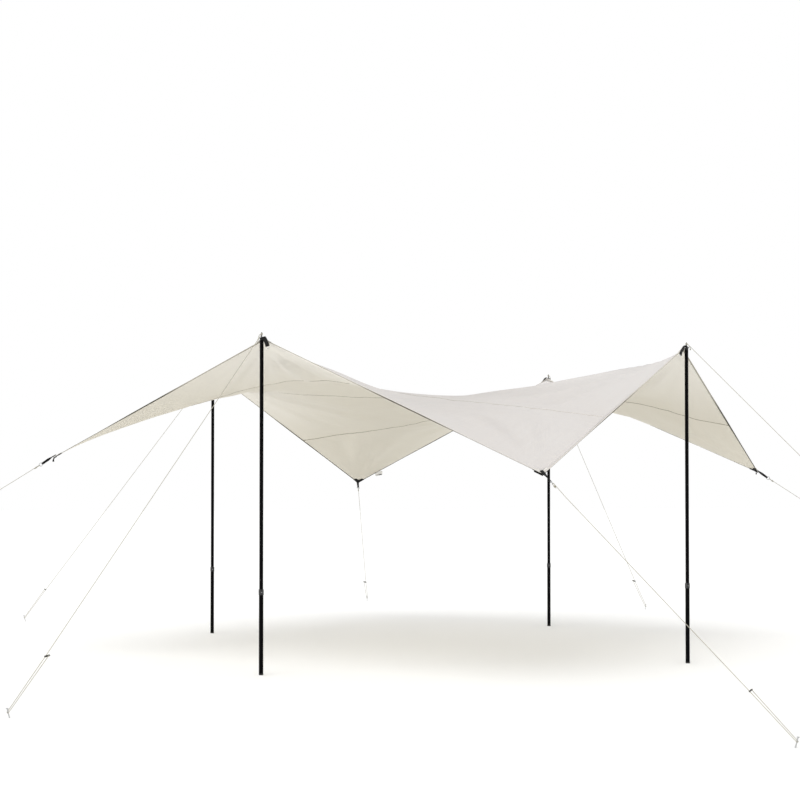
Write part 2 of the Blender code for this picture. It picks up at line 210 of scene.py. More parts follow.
# A coarse grid is stretched between the four sides, relaxed and raised, and then made finer.
cage = bmesh.new()
cage.loops.layers.uv.new("pattern")
crease = cage.verts.layers.float.new("crease_vert")
bmesh.ops.create_grid(cage, x_segments=CAGE_CELLS, y_segments=CAGE_CELLS, size=1, calc_uvs=True)
pattern = {vert: (vert.co.x, vert.co.y) for vert in cage.verts}
for vert, (x, y) in pattern.items():
    u, v = (x + 1) / 2, (y + 1) / 2
    flat = CORNERS["left"] * (1 - u) * (1 - v) + CORNERS["front"] * u * (1 - v)
    flat += CORNERS["right"] * u * v + CORNERS["back"] * (1 - u) * v
    vert.co = along_side("front_left", u) * (1 - v) + along_side("back_right", 1 - u) * v
    vert.co += along_side("back_left", 1 - v) * (1 - u) + along_side("front_right", v) * u - flat
    if vert.is_boundary and abs(x * y) < 0.001:
        vert[crease] = 1.0
inside = [vert for vert in cage.verts if not vert.is_boundary]
for _ in range(RELAXINGS):
    bmesh.ops.smooth_vert(
        cage, verts=inside, factor=1.0, use_axis_x=True, use_axis_y=True, use_axis_z=True
    )
for vert, (x, y) in pattern.items():
    vert.co.z += swell(x, y)
cage_object = in_scene("cloth_cage", finished(cage))
finer = cage_object.modifiers.new("finer", "SUBSURF")
finer.levels = finer.render_levels = SUBDIVISIONS
finer.boundary_smooth = "PRESERVE_CORNERS"

cloth = bmesh.new()
cloth.from_mesh(with_modifiers(cage_object))
cloth.normal_update()
cloth_map = cloth.loops.layers.uv["pattern"]
cloth_grid = {}
for face in cloth.faces:
    for loop in face.loops:
        u, v = loop[cloth_map].uv
        cloth_grid[round(u * CLOTH_CELLS), round(v * CLOTH_CELLS)] = loop.vert
for (column, row), vert in cloth_grid.items():
    height = fold_height(column * 2 / CLOTH_CELLS - 1, row * 2 / CLOTH_CELLS - 1)
    vert.co += vert.normal * height
cloth.normal_update()
cloth_points = {place: (vert.co.copy(), vert.normal.copy()) for place, vert in cloth_grid.items()}
cloth_mesh = finished(cloth)


def linear(code):
    """A hex sRGB colour as linear red, green, blue and alpha."""
    parts = [int(code[i : i + 2], 16) / 255 for i in (1, 3, 5)]
    return (*(c / 12.92 if c <= 0.04045 else ((c + 0.055) / 1.055) ** 2.4 for c in parts), 1.0)


def set_inputs(node, inputs):
    """Gives a node's inputs their values, or links them where a value is another's socket."""
    for name, value in inputs.items():
        if isinstance(value, bpy.types.NodeSocket):
            node.id_data.links.new(value, node.inputs[name])
        else:
            node.inputs[name].default_value = value


def add_node(tree, kind, inputs=(), out=None, **settings):
    """Adds a shader node with its settings, and its inputs in order or by name. Gives back its
    first output in use, or the one named out. A Mix node's colours are inputs 6 and 7."""
    made = tree.nodes.new("ShaderNode" + kind)
    for name, value in settings.items():
        setattr(made, name, value)
    set_inputs(made, inputs if isinstance(inputs, dict) else dict(enumerate(inputs)))
    return made.outputs[out] if out else next(socket for socket in made.outputs if socket.enabled)


def new_material(name):
    """A material, its Principled shader, and the way to add nodes to it."""
    material = bpy.data.materials.new(name)
    material.use_nodes = True
    tree = material.node_tree
    return material, tree.nodes["Principled BSDF"], functools.partial(add_node, tree)


def surface(shader, add, tones, relief, finish):
    """Gives a shader its colour, as an amount and the two tones that it mixes, its relief, as a
    height with its depth and strength, and its other values."""
    amount, tone, other_tone = tones
    height, depth, strength = relief
    set_inputs(shader, {
        "Base Color": add("Mix", {0: amount, 6: tone, 7: other_tone}, data_type="RGBA"),
        "Normal": add("Bump", {"Height": height, "Distance": depth, "Strength": strength}),
        **finish,
    })


# The slubs are thicker threads, and the clouds faint changes of tone. The cloth is painted paler
# this near to a pole, as painted light, and is puckered this near to a seam.
SLUB_LENGTH = 0.9
SLUB_WIDTH = 0.009
CLOUDS_PER_METRE = 1.7
PAINTED_LIGHT_FROM_POLE = (0.1, 1.5)
PUCKERED_FROM_SEAM = 0.09
PUCKER_GRAIN = (0.05, 0.16)
TARP_GLOW = 0.22
FARTHEST = 9.0


def tarp_material(name, face_colour, slub_colour, painted_light_colour):
    """Coated woven polyester: matt, faintly slubbed, puckered beside its seams, painted paler near
    the poles as painted light, and letting some light through. Its threads, 0.3 mm apart, are far
    too fine for the view, so only the thicker slubs are drawn, 9 mm apart."""
    material, shader, add = new_material(name)
    uv = add("UVMap", uv_map="pattern")
    metres = add("Mapping", {"Vector": uv, "Scale": (2 * HALF_SIDE, 2 * HALF_SIDE, 1)})
    slubs = []
    for across, along in ((SLUB_LENGTH, SLUB_WIDTH), (SLUB_WIDTH, SLUB_LENGTH)):
        threads = add("Mapping", {"Vector": metres, "Scale": (1 / across, 1 / along, 1)})
        slubs.append(add("TexNoise", {"Vector": threads, "Scale": 1.0, "Detail": 2.0}))
    crossed = add("Math", slubs, operation="ADD")
    cloud = add("TexNoise", {"Vector": metres, "Scale": CLOUDS_PER_METRE, "Detail": 3.0})
    shade = add("Math", (crossed, cloud), operation="ADD")
    amount = add("MapRange", (shade, 1.0, 2.0))
    faces = {0: amount, 6: linear(face_colour), 7: linear(slub_colour)}
    woven = add("Mix", faces, data_type="RGBA")
    to_pole = FARTHEST
    for pole_u, pole_v in ((0.5, 0), (1, 0.5), (0.5, 1), (0, 0.5)):
        middle = (pole_u * 2 * HALF_SIDE, pole_v * 2 * HALF_SIDE, 0)
        gap = add("VectorMath", (metres, middle), operation="DISTANCE")
        to_pole = add("Math", (gap, to_pole), operation="MINIMUM")
    # Painted light: the colour turns paler within 0.1 to 1.5 m of a pole, standing in for the
    # brighter light there.
    pale = (to_pole, *PAINTED_LIGHT_FROM_POLE, 1.0, 0.0)
    painted_light_near_pole = add("MapRange", pale, interpolation_type="SMOOTHSTEP")
    colour = add("Mix", {0: painted_light_near_pole, 6: woven, 7: linear(painted_light_colour)}, data_type="RGBA")
    along = add("SeparateXYZ", (metres,), out="Y")
    to_seam = FARTHEST
    for seam in SEAM_LINES:
        off = add("Math", (along, (seam + 1) * HALF_SIDE), operation="SUBTRACT")
        off = add("Math", (off,), operation="ABSOLUTE")
        to_seam = add("Math", (off, to_seam), operation="MINIMUM")
    beside = add("MapRange", (to_seam, 0.0, PUCKERED_FROM_SEAM, 1.0, 0.0))
    grain = (1 / PUCKER_GRAIN[0], 1 / PUCKER_GRAIN[1], 1)
    gathers = add("Mapping", {"Vector": metres, "Scale": grain})
    pucker = add("TexNoise", {"Vector": gathers, "Scale": 1.0, "Detail": 1.0})
    puckers = add("Math", (pucker, beside), operation="MULTIPLY")
    low = add("Bump", {"Height": puckers, "Distance": 0.008, "Strength": 0.6})
    relief = {"Height": crossed, "Distance": 0.0001, "Strength": 0.1, "Normal": low}
    fine = add("Bump", relief)
    set_inputs(shader, {
        "Base Color": colour, "Normal": fine, "Roughness": 0.72, "IOR": 1.5,
        "Specular IOR Level": 0.3, "Sheen Weight": 0.06,
    })
    through = add("BsdfTranslucent", {"Color": linear("#F4EFE6"), "Normal": fine})
    mixed = add("MixShader", (TARP_GLOW, shader.outputs["BSDF"], through))
    set_inputs(material.node_tree.nodes["Material Output"], {"Surface": mixed})
    return material


tarp_top = tarp_material("woven_polyester_tarp_face", "#D5D3D3", "#CFCBC9", "#D4D2D2")
tarp_under = tarp_material("coated_polyester_tarp_underside", "#E7E3D6", "#E0DBCD", "#F2EFE7")

canopy = add_piece("tarp_sheet", cloth_mesh, tarp_top, node="canopy_sheet")
cloth_mesh.materials.append(tarp_under)
shell = canopy.modifiers.new("thickness", "SOLIDIFY")
shell.thickness = CLOTH_THICKNESS
shell.offset = 0
shell.material_offset = 1

# The seams: three flat-felled seams where the four lengths of cloth are sewn together. Each is
# the two cloths folded into each other, 10 mm wide, with two rows of thread.
SEAM_WIDTH = 0.010
SEAM_THICKNESS = 0.0042
SEAM_EASE = 0.0008
SEAM_ROWS = (0.0035, 0.0065, 0.0135, 0.0165)
SEAM_SHARE = 0.996
SEAM_LOOK = 0.01
BAND_RIB = 0.0016
STITCH_PITCH = 0.005
STITCH_LENGTH = 0.0036
THREAD_HALF_WIDTH = 0.0006
# How far from a band's middle its paler colour gives way to the painted shade of its darker ones.
PAINTED_SHADE_FROM_MIDDLE = (0.80, 1.10)


def cloth_at(x, y):
    """Place and upward normal of the cloth at a point of its pattern."""
    column = min(max((x + 1) / 2 * CLOTH_CELLS, 0), CLOTH_CELLS - 0.0001)
    row = min(max((y + 1) / 2 * CLOTH_CELLS, 0), CLOTH_CELLS - 0.0001)
    i, j = int(column), int(row)
    s, t = column - i, row - j
    near, far, high, top = (cloth_points[i + a, j + b] for a, b in ((0, 0), (1, 0), (0, 1), (1, 1)))
    place, normal = (
        (near[n] * (1 - s) + far[n] * s) * (1 - t) + (high[n] * (1 - s) + top[n] * s) * t
        for n in (0, 1)
    )
    return place, normal.normalized()


def sweep(stations, section):
    """A closed solid drawn out along stations (place, across, up) from a flat section outline.
    Its map runs in metres, along the piece and round its section."""
    built = bmesh.new()
    uv_map = built.loops.layers.uv.new("run")
    around = [0.0]
    for first, second in zip(section, section[1:] + section[:1]):
        around.append(around[-1] + math.dist(first, second))
    place, across, up = stations[0]
    ring = [built.verts.new(place + across * x + up * y) for x, y in section]
    edges = [built.edges.new(pair) for pair in zip(ring, ring[1:] + ring[:1])]
    where = {vert: (0.0, number) for number, vert in enumerate(ring)}
    first_ring = ring
    length = 0.0
    for before, (place, across, up) in zip(stations, stations[1:]):
        length += (place - before[0]).length
        grown = bmesh.ops.extrude_edge_only(built, edges=edges)["geom"]
        new = {part for part in grown if isinstance(part, bmesh.types.BMVert)}
        ring = [next(e.other_vert(v) for e in v.link_edges if e.other_vert(v) in new) for v in ring]
        for number, (vert, (x, y)) in enumerate(zip(ring, section)):
            vert.co = place + across * x + up * y
            where[vert] = (length, number)
        edges = [built.edges.get(pair) for pair in zip(ring, ring[1:] + ring[:1])]
    last = len(section) - 1
    for face in built.faces:
        numbers = {where[loop.vert][1] for loop in face.loops}
        for loop in face.loops:
            run, number = where[loop.vert]
            closing = numbers == {0, last} and number == 0
            loop[uv_map].uv = (run, around[-1] if closing else around[number])
    for cap in (first_ring, ring):
        bmesh.ops.contextual_create(built, geom=cap)
    bmesh.ops.recalc_face_normals(built, faces=built.faces[:])
    return finished(built, 50)


def flat_section(width, thickness, ease):
    """Outline of a flat band with eased edges."""
    w, h = width / 2, thickness / 2
    return [
        (w - ease, h), (w, h - ease), (w, ease - h), (w - ease, -h),
        (ease - w, -h), (-w, ease - h), (-w, h - ease), (ease - w, h),
    ]


def stitched_material(name, cloth_colour, dark_colour, thread_colour, rows, unshaded_colour=None):
    """Sewn band of cloth: fine cross ribs every 1.6 mm and rows of thread, 5 mm a stitch. Given a
    last colour, the band takes that paler colour, without painted shade, for about a metre each
    way from its middle."""
    material, shader, add = new_material(name)
    uv = add("UVMap", uv_map="run")
    along, round_way, _ = add("SeparateXYZ", (uv,)).node.outputs
    rib = add("Math", (along, math.tau / BAND_RIB), operation="MULTIPLY")
    ribs = add("Math", (rib,), operation="SINE")
    dash = add("Math", (along, STITCH_PITCH), operation="MODULO")
    sewn = add("Math", (dash, STITCH_LENGTH), operation="LESS_THAN")
    marks = 0.0
    for row in rows:
        mark = add("Math", (round_way, row, THREAD_HALF_WIDTH), operation="COMPARE")
        marks = add("Math", (mark, marks), operation="MAXIMUM")
    thread = add("Math", (marks, sewn), operation="MULTIPLY")
    worn = add("TexNoise", {"Vector": uv, "Scale": 40.0, "Detail": 3.0})
    cloth_tones = {0: worn, 6: linear(cloth_colour), 7: linear(dark_colour)}
    seen = add("Mix", cloth_tones, data_type="RGBA")
    tones = (thread, seen, linear(thread_colour))
    # The paler last colour takes the place of the painted shade near the band's middle.
    if unshaded_colour:
        seen = add("Mix", dict(zip((0, 6, 7), tones)), data_type="RGBA")
        off = add("Math", (along, HALF_SIDE), operation="SUBTRACT")
        off = add("Math", (off,), operation="ABSOLUTE")
        tones = (add("MapRange", (off, *PAINTED_SHADE_FROM_MIDDLE, 1.0, 0.0)), seen, linear(unshaded_colour))
    height = add("Math", (ribs, 0.25, thread), operation="MULTIPLY_ADD")
    finish = {"Roughness": 0.8, "Specular IOR Level": 0.3}
    surface(shader, add, tones, (height, 0.0006, 0.7), finish)
    return material


def two_faced(mesh, section, upper):
    """Gives the upper face of a sewn band, the last side of its section, a second material."""
    mesh.materials.append(upper)
    turn = sum(math.dist(first, second) for first, second in zip(section, section[1:]))
    run = mesh.uv_layers["run"].data
    for face in mesh.polygons:
        rounds = [run[i].uv.y for i in face.loop_indices]
        if len(rounds) == 4 and min(rounds) > turn - 0.0001:
            face.material_index = 1


# The underside seam colours are painted shade of the seam's fold and puckers; the face keeps the
# cloth's colour.
seam_painted_shade = stitched_material("felled_seam_underside_painted_shade", "#A39C8B", "#968F7D", "#7A7362", SEAM_ROWS)
seam_upper = stitched_material("felled_seam_face", "#DDD9D6", "#D5D0CB", "#CDC7BF", SEAM_ROWS)
seam_section = flat_section(SEAM_WIDTH, SEAM_THICKNESS, SEAM_EASE)
for number, line in enumerate(SEAM_LINES, 1):
    stations = []
    for step in range(CLOTH_CELLS + 1):
        x = SEAM_SHARE * (step * 2 / CLOTH_CELLS - 1)
        place, normal = cloth_at(x, line)
        after, before = min(x + SEAM_LOOK, 1), max(x - SEAM_LOOK, -1)
        ahead = cloth_at(after, line)[0] - cloth_at(before, line)[0]
        stations.append((place, normal.cross(ahead).normalized(), normal))
    mesh = sweep(stations, seam_section)
    add_piece(f"felled_seam_{number}", mesh, seam_painted_shade)
    two_faced(mesh, seam_section, seam_upper)

# The bound edge: the cloth is turned under all round, and a polyester tape, 10 mm wide, is sewn
# over its raw edge from below, so that from above only the turned cloth shows. The tape's dark
# olive colour is painted shade along the edge, and within about a metre of each pole it is
# painted a paler cloth colour instead. It is rolled thickest along the middle of each half side.
BINDING_DEPTH = 0.010
BINDING_THICKNESS = 0.0042
BINDING_PROUD = 0.0012
BINDING_ROWS = (0.006, 0.024)
BINDING_ENDS = 0.002
BINDING_LOOK = 0.004
BINDING_INNER = 0.03
# By how much of its thickness it is rolled up and pressed flat, and from where on a half side.
BINDING_ROLLED = 0.7
BINDING_PRESSED = 0.5
ROLLED_FROM = (0.30, 0.12)
PRESSED_FROM = (0.60, 0.14)

# The tape's dark colours are painted shade along the edge; its paler last colour leaves that shade
# off by the poles.
binding_painted_shade = stitched_material(
    "olive_tape_with_painted_shade", "#4A473B", "#3F3C31", "#6B6757", BINDING_ROWS, "#A29D90"
)
binding_upper = stitched_material(
    "turned_cloth_edge", "#D6D1CB", "#CDC7C0", "#BDB6AC", BINDING_ROWS
)
binding_section = flat_section(BINDING_DEPTH, BINDING_THICKNESS, SEAM_EASE)


def on_pattern(side, run, inset=0.0):
    """The point of the pattern at run, -1 to 1, along a side and inset from it."""
    x, y = run, inset - 1
    for _ in range(list(SIDES).index(side)):
        x, y = -y, x
    return x, y


def square_to(way, line):
    """The direction of what is left of a way once its part along a line is taken off."""
    return (way - line * way.dot(line)).normalized()


for side in SIDES:
    stations = []
    for step in range(CLOTH_CELLS + 1):
        amount = min(max(step / CLOTH_CELLS, BINDING_ENDS), 1 - BINDING_ENDS)
        run = amount * 2 - 1
        edge, normal = cloth_at(*on_pattern(side, run))
        after, before = min(amount + BINDING_LOOK, 1), max(amount - BINDING_LOOK, 0)
        ahead = (along_side(side, after) - along_side(side, before)).normalized()
        inner = square_to(cloth_at(*on_pattern(side, run, BINDING_INNER))[0] - edge, ahead)
        up = inner.cross(ahead).normalized()
        if up.dot(normal) < 0:
            up.negate()
        place = along_side(side, amount) + inner * (BINDING_DEPTH / 2 - BINDING_PROUD)
        rolled, pressed = ramp(abs(run), *ROLLED_FROM), ramp(abs(run), *PRESSED_FROM)
        plump = 1 + BINDING_ROLLED * rolled - (BINDING_ROLLED + BINDING_PRESSED) * pressed
        stations.append((place, inner, up * plump))
    mesh, node = sweep(stations, binding_section), "edge_tape_" + side
    add_piece("edge_binding_" + side, mesh, binding_painted_shade, node=node)
    two_faced(mesh, binding_section, binding_upper)

# The poles: two black anodised aluminium tubes, 32 and 28 mm, that slide into each other. The
# lower one stands on a rubber foot and carries a moulded clamp collar at its mouth; a sprung
# steel button on the upper tube sits in the collar and fits the holes below it.
LOWER_RADIUS = 0.016
UPPER_RADIUS = 0.014
LOWER_BORE = 0.0146
UPPER_BORE = 0.0128
LOWER_BOTTOM = 0.0123
UPPER_BOTTOM = 0.44
UPPER_TOP = POLE_TOP - 0.0103
COLLAR_TOP = 0.61
COLLAR_FOOT = 0.57
LOWER_TOP = COLLAR_TOP - 0.0045
COLLAR_RADIUS = 0.0185
HOLE_RADIUS = 0.004
HOLE_HEIGHTS = (0.23, 0.41)
BUTTON_HEIGHT = 0.59
BUTTON_RADIUS = 0.0034
BUTTON_PROUD = 0.0004
TUBE_SIDES = 48
TUBE_EASE = 0.0003
PIN_SIDES = 24


def turned(profile, stand, sides=TUBE_SIDES, ring=False):
    """A shape turned about the upright line through stand, from (radius, height) points. With
    ring, the profile closes on itself, as the wall of a tube does."""
    built = bmesh.new()
    points = [built.verts.new((radius, 0, height)) for radius, height in profile]
    for pair in zip(points, points[1:] + points[:1] if ring else points[1:]):
        built.edges.new(pair)
    bmesh.ops.spin(
        built, geom=built.verts[:] + built.edges[:], cent=(0, 0, 0), axis=(0, 0, 1),
        angle=math.tau, steps=sides, use_merge=True,
    )
    bmesh.ops.remove_doubles(built, verts=built.verts[:], dist=0.00001)
    bmesh.ops.recalc_face_normals(built, faces=built.faces[:])
    built.transform(stand)
    return finished(built, 38)


def bored(mesh, stand, heights, reach, radius):
    """Cuts round holes through the front wall of a tube and returns the cut mesh."""
    drills = bmesh.new()
    for height in heights:
        ahead = Matrix.Translation((0, -reach, height)) @ Matrix.Rotation(math.pi / 2, 4, "X")
        bmesh.ops.create_cone(
            drills, cap_ends=True, segments=24, radius1=radius, radius2=radius, depth=reach,
            matrix=stand @ ahead,
        )
    drill_mesh = bpy.data.meshes.new("drills")
    drills.to_mesh(drill_mesh)
    drills.free()
    tube, drill = in_scene("tube_to_bore", mesh), in_scene("drills", drill_mesh)
    cut = tube.modifiers.new("holes", "BOOLEAN")
    cut.operation = "DIFFERENCE"
    cut.solver = "EXACT"
    cut.object = drill
    result = with_modifiers(tube)
    result.set_sharp_from_angle(angle=math.radians(38))
    bpy.data.objects.remove(drill)
    return result


def metal_material(name, colour, worn_colour, roughness, grain, grain_bump, wear):
    """Drawn or plated metal: fine marks along its length and dull, scuffed patches."""
    material, shader, add = new_material(name)
    place = add("TexCoord", out="Object")
    marked = add("Mapping", {"Vector": place, "Scale": grain})
    marks = add("TexNoise", {"Vector": marked, "Scale": 1.0, "Detail": 2.0})
    patches = add("TexNoise", {"Vector": place, "Scale": 9.0, "Detail": 5.0})
    scuffs = add("MapRange", (patches, 0.55, 0.75, 0.0, wear))
    dull = add("MapRange", (marks, 0, 1, roughness - 0.06, roughness + 0.08))
    tones = (scuffs, linear(colour), linear(worn_colour))
    surface(shader, add, tones, (marks, grain_bump, 0.4), {"Roughness": dull, "Metallic": 1.0})
    return material


def moulded_material(name, colour, light_colour, roughness, grit, grit_bump):
    """Moulded plastic or rubber: an even matt spark-eroded grain with faint dusty patches."""
    material, shader, add = new_material(name)
    place = add("TexCoord", out="Object")
    grain = add("TexNoise", {"Vector": place, "Scale": 1 / grit, "Detail": 1.0})
    dust = add("TexNoise", {"Vector": place, "Scale": 45.0, "Detail": 4.0})
    tones = (dust, linear(colour), linear(light_colour))
    surface(shader, add, tones, (grain, grit_bump, 0.5), {"Roughness": roughness, "IOR": 1.5})
    return material


tube_finish = metal_material(
    "black_anodised_aluminium", "#0D0D0E", "#161617", 0.42, (900, 900, 6), 0.00006, 0.6
)
plastic_finish = moulded_material("moulded_black_nylon", "#161617", "#1F1F20", 0.5, 0.0012, 0.0001)
rubber_finish = moulded_material("moulded_black_rubber", "#1A1A1A", "#2A2927", 0.85, 0.0018, 0.0002)
steel_finish = metal_material(
    "zinc_plated_steel", "#B9BABB", "#8F9092", 0.34, (260, 260, 260), 0.00008, 1.0
)

for pole in POLES:
    stand = Matrix.Translation(pole_base(pole))
    leg = pole + "_leg"
    foot = turned(
        [
            (0, 0.042), (0.0128, 0.042), (0.0143, 0.039), (0.0143, 0.012), (0.0158, 0.0119),
            (0.0165, 0.0112), (0.0165, 0.0092), (0.0158, 0.0086), (0.0158, 0.0074),
            (0.0165, 0.0068), (0.0165, 0.0048), (0.0158, 0.0042), (0.0158, 0.0034),
            (0.0161, 0.0026), (0.0152, 0.0008), (0.0140, 0.0), (0.0105, 0.0), (0.0100, 0.0012),
            (0.0070, 0.0012), (0.0065, 0.0), (0, 0.0),
        ],
        stand,
    )
    add_piece("rubber_foot_" + pole, foot, rubber_finish, leg, "foot_" + pole)
    rim, bore = LOWER_RADIUS - TUBE_EASE, LOWER_BORE + 0.0002
    tube = turned(
        [
            (rim, LOWER_TOP), (LOWER_RADIUS, LOWER_TOP - TUBE_EASE),
            (LOWER_RADIUS, LOWER_BOTTOM + TUBE_EASE), (rim, LOWER_BOTTOM), (bore, LOWER_BOTTOM),
            (LOWER_BORE, LOWER_BOTTOM + TUBE_EASE), (LOWER_BORE, LOWER_TOP - TUBE_EASE),
            (bore, LOWER_TOP),
        ],
        stand,
        ring=True,
    )
    tube = bored(tube, stand, (*HOLE_HEIGHTS, BUTTON_HEIGHT), LOWER_RADIUS, HOLE_RADIUS)
    add_piece("drawn_lower_tube_" + pole, tube, tube_finish, leg, "lower_tube_" + pole)
    top, low, outer, inner = COLLAR_TOP, COLLAR_FOOT, COLLAR_RADIUS, LOWER_RADIUS + 0.0001
    groove = outer - 0.0007
    collar = turned(
        [
            (LOWER_BORE, top), (outer - 0.0022, top), (outer - 0.0006, top - 0.0008),
            (outer, top - 0.0026), (outer, top - 0.0085), (groove, top - 0.0092),
            (groove, top - 0.0104), (outer, top - 0.0111), (outer, low + 0.0111),
            (groove, low + 0.0104), (groove, low + 0.0092), (outer, low + 0.0085),
            (outer, low + 0.0030), (outer - 0.0009, low), (inner, low), (inner, top - 0.004),
            (LOWER_BORE, top - 0.004),
        ],
        stand,
        ring=True,
    )
    collar = bored(collar, stand, (BUTTON_HEIGHT,), COLLAR_RADIUS, HOLE_RADIUS + 0.0004)
    add_piece("clamp_collar_" + pole, collar, plastic_finish, leg)
    rim = UPPER_RADIUS - TUBE_EASE
    tube = turned(
        [
            (rim, UPPER_TOP), (UPPER_RADIUS, UPPER_TOP - TUBE_EASE),
            (UPPER_RADIUS, UPPER_BOTTOM + TUBE_EASE), (rim, UPPER_BOTTOM),
            (UPPER_BORE, UPPER_BOTTOM), (UPPER_BORE, UPPER_TOP),
        ],
        stand,
        ring=True,
    )
    add_piece("drawn_upper_tube_" + pole, tube, tube_finish, node="upper_tube_" + pole)
    ahead = Matrix.Translation((0, -UPPER_RADIUS - BUTTON_PROUD, BUTTON_HEIGHT))
    button = turned(
        [
            (0, 0.0038), (BUTTON_RADIUS * 0.45, 0.0035), (BUTTON_RADIUS * 0.8, 0.0027),
            (BUTTON_RADIUS, 0.0014), (BUTTON_RADIUS, -0.0008), (0, -0.0008),
        ],
        stand @ ahead @ Matrix.Rotation(math.pi / 2, 4, "X"),
        PIN_SIDES,
    )
    add_piece("spring_button_" + pole, button, steel_finish)

# The pole tops: a moulded cap pressed into each upper tube, holding a blackened steel pin that
# takes the grommet of the tarp and the hitch of the guy rope.
PIN_RADIUS = 0.004
PIN_HEIGHT = 0.045

pin_finish = metal_material(
    "black_oxide_steel", "#2B2B2C", "#4A4A4A", 0.4, (260, 260, 260), 0.00006, 0.7
)

for pole in POLES:
    stand = Matrix.Translation(pole_base(pole) + UP * POLE_TOP)
    hole = PIN_RADIUS + 0.0001
    cap = turned(
        [
            (hole, 0), (0.0118, 0), (0.0134, -0.0006), (0.0142, -0.0020), (0.0142, -0.0088),
            (0.0138, -0.01), (0.0125, -0.01), (0.0125, -0.038), (0.0115, -0.04), (hole, -0.04),
        ],
        stand,
        ring=True,
    )
    add_piece("pole_cap_" + pole, cap, plastic_finish, node="pole_tip_" + pole)
    pin = turned(
        [
            (0, PIN_HEIGHT), (0.0018, PIN_HEIGHT - 0.0002), (0.0032, PIN_HEIGHT - 0.0014),
            (0.0039, PIN_HEIGHT - 0.0036), (PIN_RADIUS, PIN_HEIGHT - 0.006),
            (PIN_RADIUS, -0.036), (0, -0.036),
        ],
        stand,
        PIN_SIDES,
    )
    add_piece("pole_pin_" + pole, pin, pin_finish)

# The pole fittings: a tongue of black polyester webbing, 25 mm wide, with a plated steel grommet
# over the pin, sewn to the tarp between two arms of cloth tape that run along the edges. A
# second, looser strap hangs from the pin towards the near corner, with a small ring at its end.
GAP = 0.0003
WEB_WIDTH = 0.025
WEB_THICKNESS = 0.003
WEB_ARM = 0.08
WEB_LAYER = 0.0004
WEB_LIFT = 0.0024
WEB_RIB = 0.0022
WEB_HERRINGBONE = 0.005
THREAD_PITCH = 0.004
THREAD_SIZE = (0.0028, 0.0009, 0.0008, 1)
THREAD_PROUD = 0.0002
SEWN_MARGIN = 0.006
POLE_TAPE_SEWN = 0.028
TAIL_WIDTH = 0.030
TAIL_THICKNESS = 0.0022
TAIL_PLY = 0.0006
TAIL_SEWN = 0.018
TAIL_FOLD_GAP = 0.0002
TAIL_RING = 0.010
TAIL_WIRE = 0.0015
TAIL_SPREADS = {"front_left": 0.78, "front_right": 1.85, "back_right": 1.0, "back_left": 1.0}
# The way of the hanging strap: along towards the corner, off the cloth, and up from the pole top.
TAIL_HANG = [
    (-0.012, 0.0, 0.0085), (-0.005, 0.0, 0.0092), (0.003, 0.0, 0.0100), (0.011, 0.001, 0.0102),
    (0.020, 0.002, 0.0080), (0.028, 0.004, 0.0030), (0.037, 0.006, -0.0050),
    (0.047, 0.008, -0.0180), (0.055, 0.009, -0.0290), (0.062, 0.0105, -0.0410),
    (0.067, 0.011, -0.0520), (0.070, 0.0115, -0.0600),
]


def webbing_material(name, colour, light_colour):
    """Woven polyester webbing, tape or ribbon: ribs across it, 2.2 mm apart, that slant to and
    fro every 5 mm as a herringbone, their crests painted lighter and their hollows darker as
    painted light and shade."""
    material, shader, add = new_material(name)
    uv = add("UVMap", uv_map="run")
    along, round_way, _ = add("SeparateXYZ", (uv,)).node.outputs
    slant = add("Math", (round_way, WEB_HERRINGBONE), operation="PINGPONG")
    run = add("Math", (along, slant), operation="ADD")
    turns = add("Math", (run, math.tau / WEB_RIB), operation="MULTIPLY")
    ribs = add("Math", (turns,), operation="SINE")
    # Painted light and shade: the raised ribs take the lighter colour and the hollows the darker
    # one.
    rib_light_and_shade = add("MapRange", (ribs, -1.0, 1.0))
    tones = (rib_light_and_shade, linear(colour), linear(light_colour))
    finish = {"Roughness": 0.75, "Specular IOR Level": 0.25}
    surface(shader, add, tones, (rib_light_and_shade, 0.0005, 0.8), finish)
    return material


web_finish = webbing_material("woven_polyester_webbing", "#070707", "#171716")
tape_finish = webbing_material("cloth_edge_reinforcing_tape", "#D2CEC8", "#DBD8D3")
thread_finish = moulded_material("bonded_nylon_thread", "#34332F", "#403F3A", 0.6, 0.0006, 0.00005)
pale_thread = moulded_material("pale_nylon_thread", "#C4BFB4", "#CFCAC0", 0.6, 0.0006, 0.00005)


def headings(points):
    """The direction of a path at each of its points."""
    ends = zip([points[0], *points], [*points[1:], points[-1]])
    return [(after - before).normalized() for before, after in ends]


def strap(points, face, width, thickness):
    """A flat strap along points, its broad face turned to face."""
    stations = []
    for point, ahead in zip(points, headings(points)):
        across = face.cross(ahead).normalized()
        stations.append((point, across, ahead.cross(across).normalized()))
    return sweep(stations, flat_section(width, thickness, thickness * 0.3))


def stitches(lines, face):
    """Rows of thread: each stitch a short raised bar, 4 mm from the next, along lines."""
    built = bmesh.new()
    for start, end in lines:
        way = end - start
        count = max(1, round(way.length / THREAD_PITCH))
        along = way.normalized()
        turn = Matrix((along, face.cross(along).normalized(), face)).transposed().to_4x4()
        for number in range(count):
            middle = start + way * (number + 0.5) / count + face * THREAD_PROUD
            place = Matrix.Translation(middle) @ turn @ Matrix.Diagonal(THREAD_SIZE)
            made = bmesh.ops.create_icosphere(built, subdivisions=1, radius=0.5)["verts"]
            bmesh.ops.transform(built, matrix=place, verts=made)
    return finished(built)


def sewn_box(start, along, across, face, length, width):
    """The stitches of a sewn box with a cross in it."""
    a, b = start - across * width / 2, start + across * width / 2
    c, d = a + along * length, b + along * length
    return stitches([(a, c), (c, d), (d, b), (b, a), (a, d), (b, c)], face)


